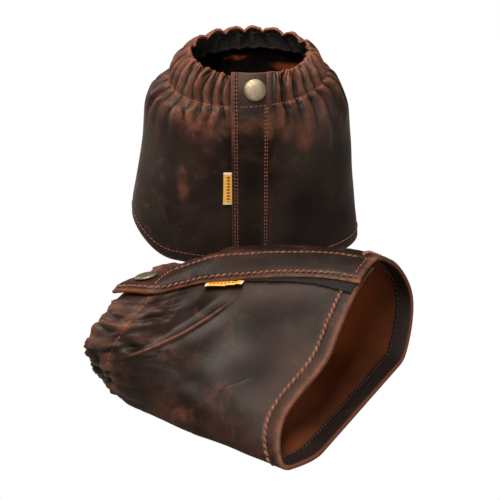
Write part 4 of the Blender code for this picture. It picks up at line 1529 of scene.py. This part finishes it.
# %% Turning, elastic, tape, thread, tag, brass and floor
def make_turning():
    """The waxed face turned in: nearly black, lighter along its fold."""
    material, tree, shader = new_material("turned leather")
    clouds = placed_group(tree, cloud_group, Amount=0.7)
    grain = placed_group(tree, grain_group)
    fold = ranged(tree, attribute(tree, "hem_gap"), 0.0002, 0.0022, 1.0, 0.0)
    dark, brown, tint = (0.006, 0.0036, 0.0028), (0.014, 0.0075, 0.0055), (0.12, 0.042, 0.023)
    colour = mixed_colour(tree, clouds.outputs["Broad"], dark, brown)
    colour = mixed_colour(tree, fold, colour, tint)
    shader.inputs["Specular IOR Level"].default_value = 0.12
    dress_shader(tree, shader, colour, 0.65, grain.outputs["Height"], 0.0005, 0.7)
    return material


def make_elastic():
    """Black woven elastic with ribs along its length."""
    material, tree, shader = new_material("woven elastic")
    rib = wave(tree, attribute(tree, "down"), 0.0015)
    weft = wave(tree, attribute(tree, "around"), 0.0011)
    weave = value_node(tree, "MULTIPLY_ADD", weft, 0.4, rib)
    lint = noise(tree, object_place(tree), 900.0, 4.0, 0.7)
    height = value_node(tree, "ADD", weave, lint)
    linty = ranged(tree, lint, 0.35, 0.75)
    colour = mixed_colour(tree, linty, (0.006, 0.006, 0.007), (0.024, 0.024, 0.026))
    dress_shader(tree, shader, colour, 0.88, height, 0.0002, 0.7)
    return material


def make_tape():
    """Black hook and loop tape: a dull nap of fine loops."""
    material, tree, shader = new_material("tape nap")
    place = object_place(tree)
    loops = cells(tree, place, 1700.0)
    lint = noise(tree, place, 1200.0, 5.0, 0.75)
    linty = ranged(tree, lint, 0.45, 0.8)
    colour = mixed_colour(tree, linty, (0.005, 0.005, 0.006), (0.035, 0.035, 0.038))
    dress_shader(tree, shader, colour, 0.95, value_node(tree, "ADD", loops, lint), 0.0005, 0.9)
    return material


def make_thread(name, dark, light):
    """Twisted thread: fine noise stands for its plies."""
    material, tree, shader = new_material(name)
    place = object_place(tree)
    plies = noise(tree, place, 1500.0, 3.0, 0.6)
    tone = noise(tree, place, 260.0, 3.0, 0.6)
    colour = mixed_colour(tree, ranged(tree, tone, 0.3, 0.7), dark, light)
    dress_shader(tree, shader, colour, 0.6, plies, 0.0003, 0.6)
    return material


def make_tag():
    """Yellow woven tag: pale ends, and a middle row of small rust lozenges."""
    material, tree, shader = new_material("woven tag")
    along, across = attribute(tree, "along"), attribute(tree, "across")
    step = value_node(tree, "FRACT", value_node(tree, "MULTIPLY", along, 1.0 / 0.0024))
    near = distance_from(tree, step, 0.5)
    off = value_node(tree, "MULTIPLY", distance_from(tree, across, 0.0037), 1.0 / 0.0042)
    lozenge = ranged(tree, value_node(tree, "ADD", near, off), 0.38, 0.46, 1.0, 0.0)
    middle = distance_from(tree, along, 0.0125)
    lozenge = value_node(tree, "MULTIPLY", lozenge, ranged(tree, middle, 0.0098, 0.0102, 1.0, 0.0))
    weave = value_node(tree, "MULTIPLY", wave(tree, along, 0.00045), wave(tree, across, 0.00045))
    deep_yellow, bright_yellow = (0.8, 0.46, 0.06), (0.95, 0.64, 0.15)
    colour = mixed_colour(tree, ranged(tree, weave, -0.8, 0.8), deep_yellow, bright_yellow)
    colour = mixed_colour(tree, ranged(tree, middle, 0.0108, 0.0114), colour, (0.85, 0.76, 0.52))
    colour = mixed_colour(tree, lozenge, colour, (0.36, 0.035, 0.018))
    dress_shader(tree, shader, colour, 0.75, weave, 0.0001, 0.5)
    return material


def make_brass():
    """Antique brass: dull and mottled, with fine pits."""
    material, tree, shader = new_material("antique brass")
    place = object_place(tree)
    tarnish = ranged(tree, noise(tree, place, 420.0, 6.0, 0.7), 0.35, 0.7)
    pits = cells(tree, place, 2400.0)
    colour = mixed_colour(tree, tarnish, (0.23, 0.208, 0.148), (0.3, 0.272, 0.196))
    shader.inputs["Metallic"].default_value = 1.0
    rough = ranged(tree, tarnish, 0.0, 1.0, 0.56, 0.44)
    dress_shader(tree, shader, colour, rough, pits, 0.0001, 0.15)
    return material


def make_floor():
    """White to the camera, and dull to the leather, so that it throws little light up."""
    material, tree, shader = new_material("pale floor")
    tone = noise(tree, object_place(tree), 1.5, 2.0)
    colour = mixed_colour(tree, tone, (0.3, 0.29, 0.28), (0.34, 0.33, 0.32))
    tree.links.new(colour, shader.inputs["Base Color"])
    shader.inputs["Roughness"].default_value = 0.9
    path = tree.nodes.new("ShaderNodeLightPath")
    white = tree.nodes.new("ShaderNodeEmission")
    seen = tree.nodes.new("ShaderNodeMixShader")
    tree.links.new(path.outputs["Is Camera Ray"], seen.inputs[0])
    tree.links.new(shader.outputs[0], seen.inputs[1])
    tree.links.new(white.outputs[0], seen.inputs[2])
    end = next(node for node in tree.nodes if node.type == "OUTPUT_MATERIAL")
    tree.links.new(seen.outputs[0], end.inputs["Surface"])
    return material


turning_finish = make_turning()
elastic_finish = make_elastic()
tape_finish = make_tape()
rust_thread = make_thread("rust thread", (0.115, 0.04, 0.025), (0.24, 0.095, 0.06))
dull_thread = make_thread("dull rust thread", (0.085, 0.03, 0.019), (0.19, 0.072, 0.045))
black_thread = make_thread("black thread", (0.006, 0.005, 0.005), (0.03, 0.026, 0.024))
tag_finish = make_tag()
brass_finish = make_brass()
floor.data.materials.append(make_floor())
print("materials", len(bpy.data.materials))

# %% [markdown]
# Last, every piece gets its finish and hides the CAD node that it stands for, and the leather
# states the flat piece that it was cut from. The snap's inner halves keep their CAD shape and take
# the brass.


# %% Dress the pair
def flat_area():
    """Area of the cut panel in square metres: the drop summed round the pattern."""
    around = np.linspace(FLAP_EDGE, UNDERLAP_END, 2001)
    return float(np.mean(cut_drop(around))) * (UNDERLAP_END - FLAP_EDGE) * MM * MM


def finish_piece(piece, material, slot, *nodes):
    """Gives a piece its material and hides the CAD nodes that it stands for; the slot is not used."""
    piece.data.materials.clear()
    piece.data.materials.append(material)
    if nodes:
        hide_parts(*nodes)


threads = {"standing": dull_thread, "lying": rust_thread}
for name in surfaces:
    finish_piece(leathers[name], leather_finish, "leather", name + "_panel")
    finish_piece(turnings[name], turning_finish, "leather_turn", name + "_hem_turn")
    finish_piece(elastics[name], elastic_finish, "elastic", name + "_elastic")
    finish_piece(tapes[name][0], tape_finish, "tape", name + "_hook_tape")
    finish_piece(tapes[name][1], tape_finish, "tape", name + "_loop_tape")
    finish_piece(caps[name], brass_finish, "snap_metal", name + "_snap_cap")
    finish_piece(labels[name], tag_finish, "label_cloth", name + "_label")
    finish_piece(stitches[name], threads[name], "leather")
    finish_piece(under_stitches[name], black_thread, "leather_turn")
    for part in ("_snap_socket", "_snap_stud"):
        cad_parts[name + part].material_slots[0].material = brass_finish
    print(name, "panel is cut from", round(flat_area(), 4), "square metres")
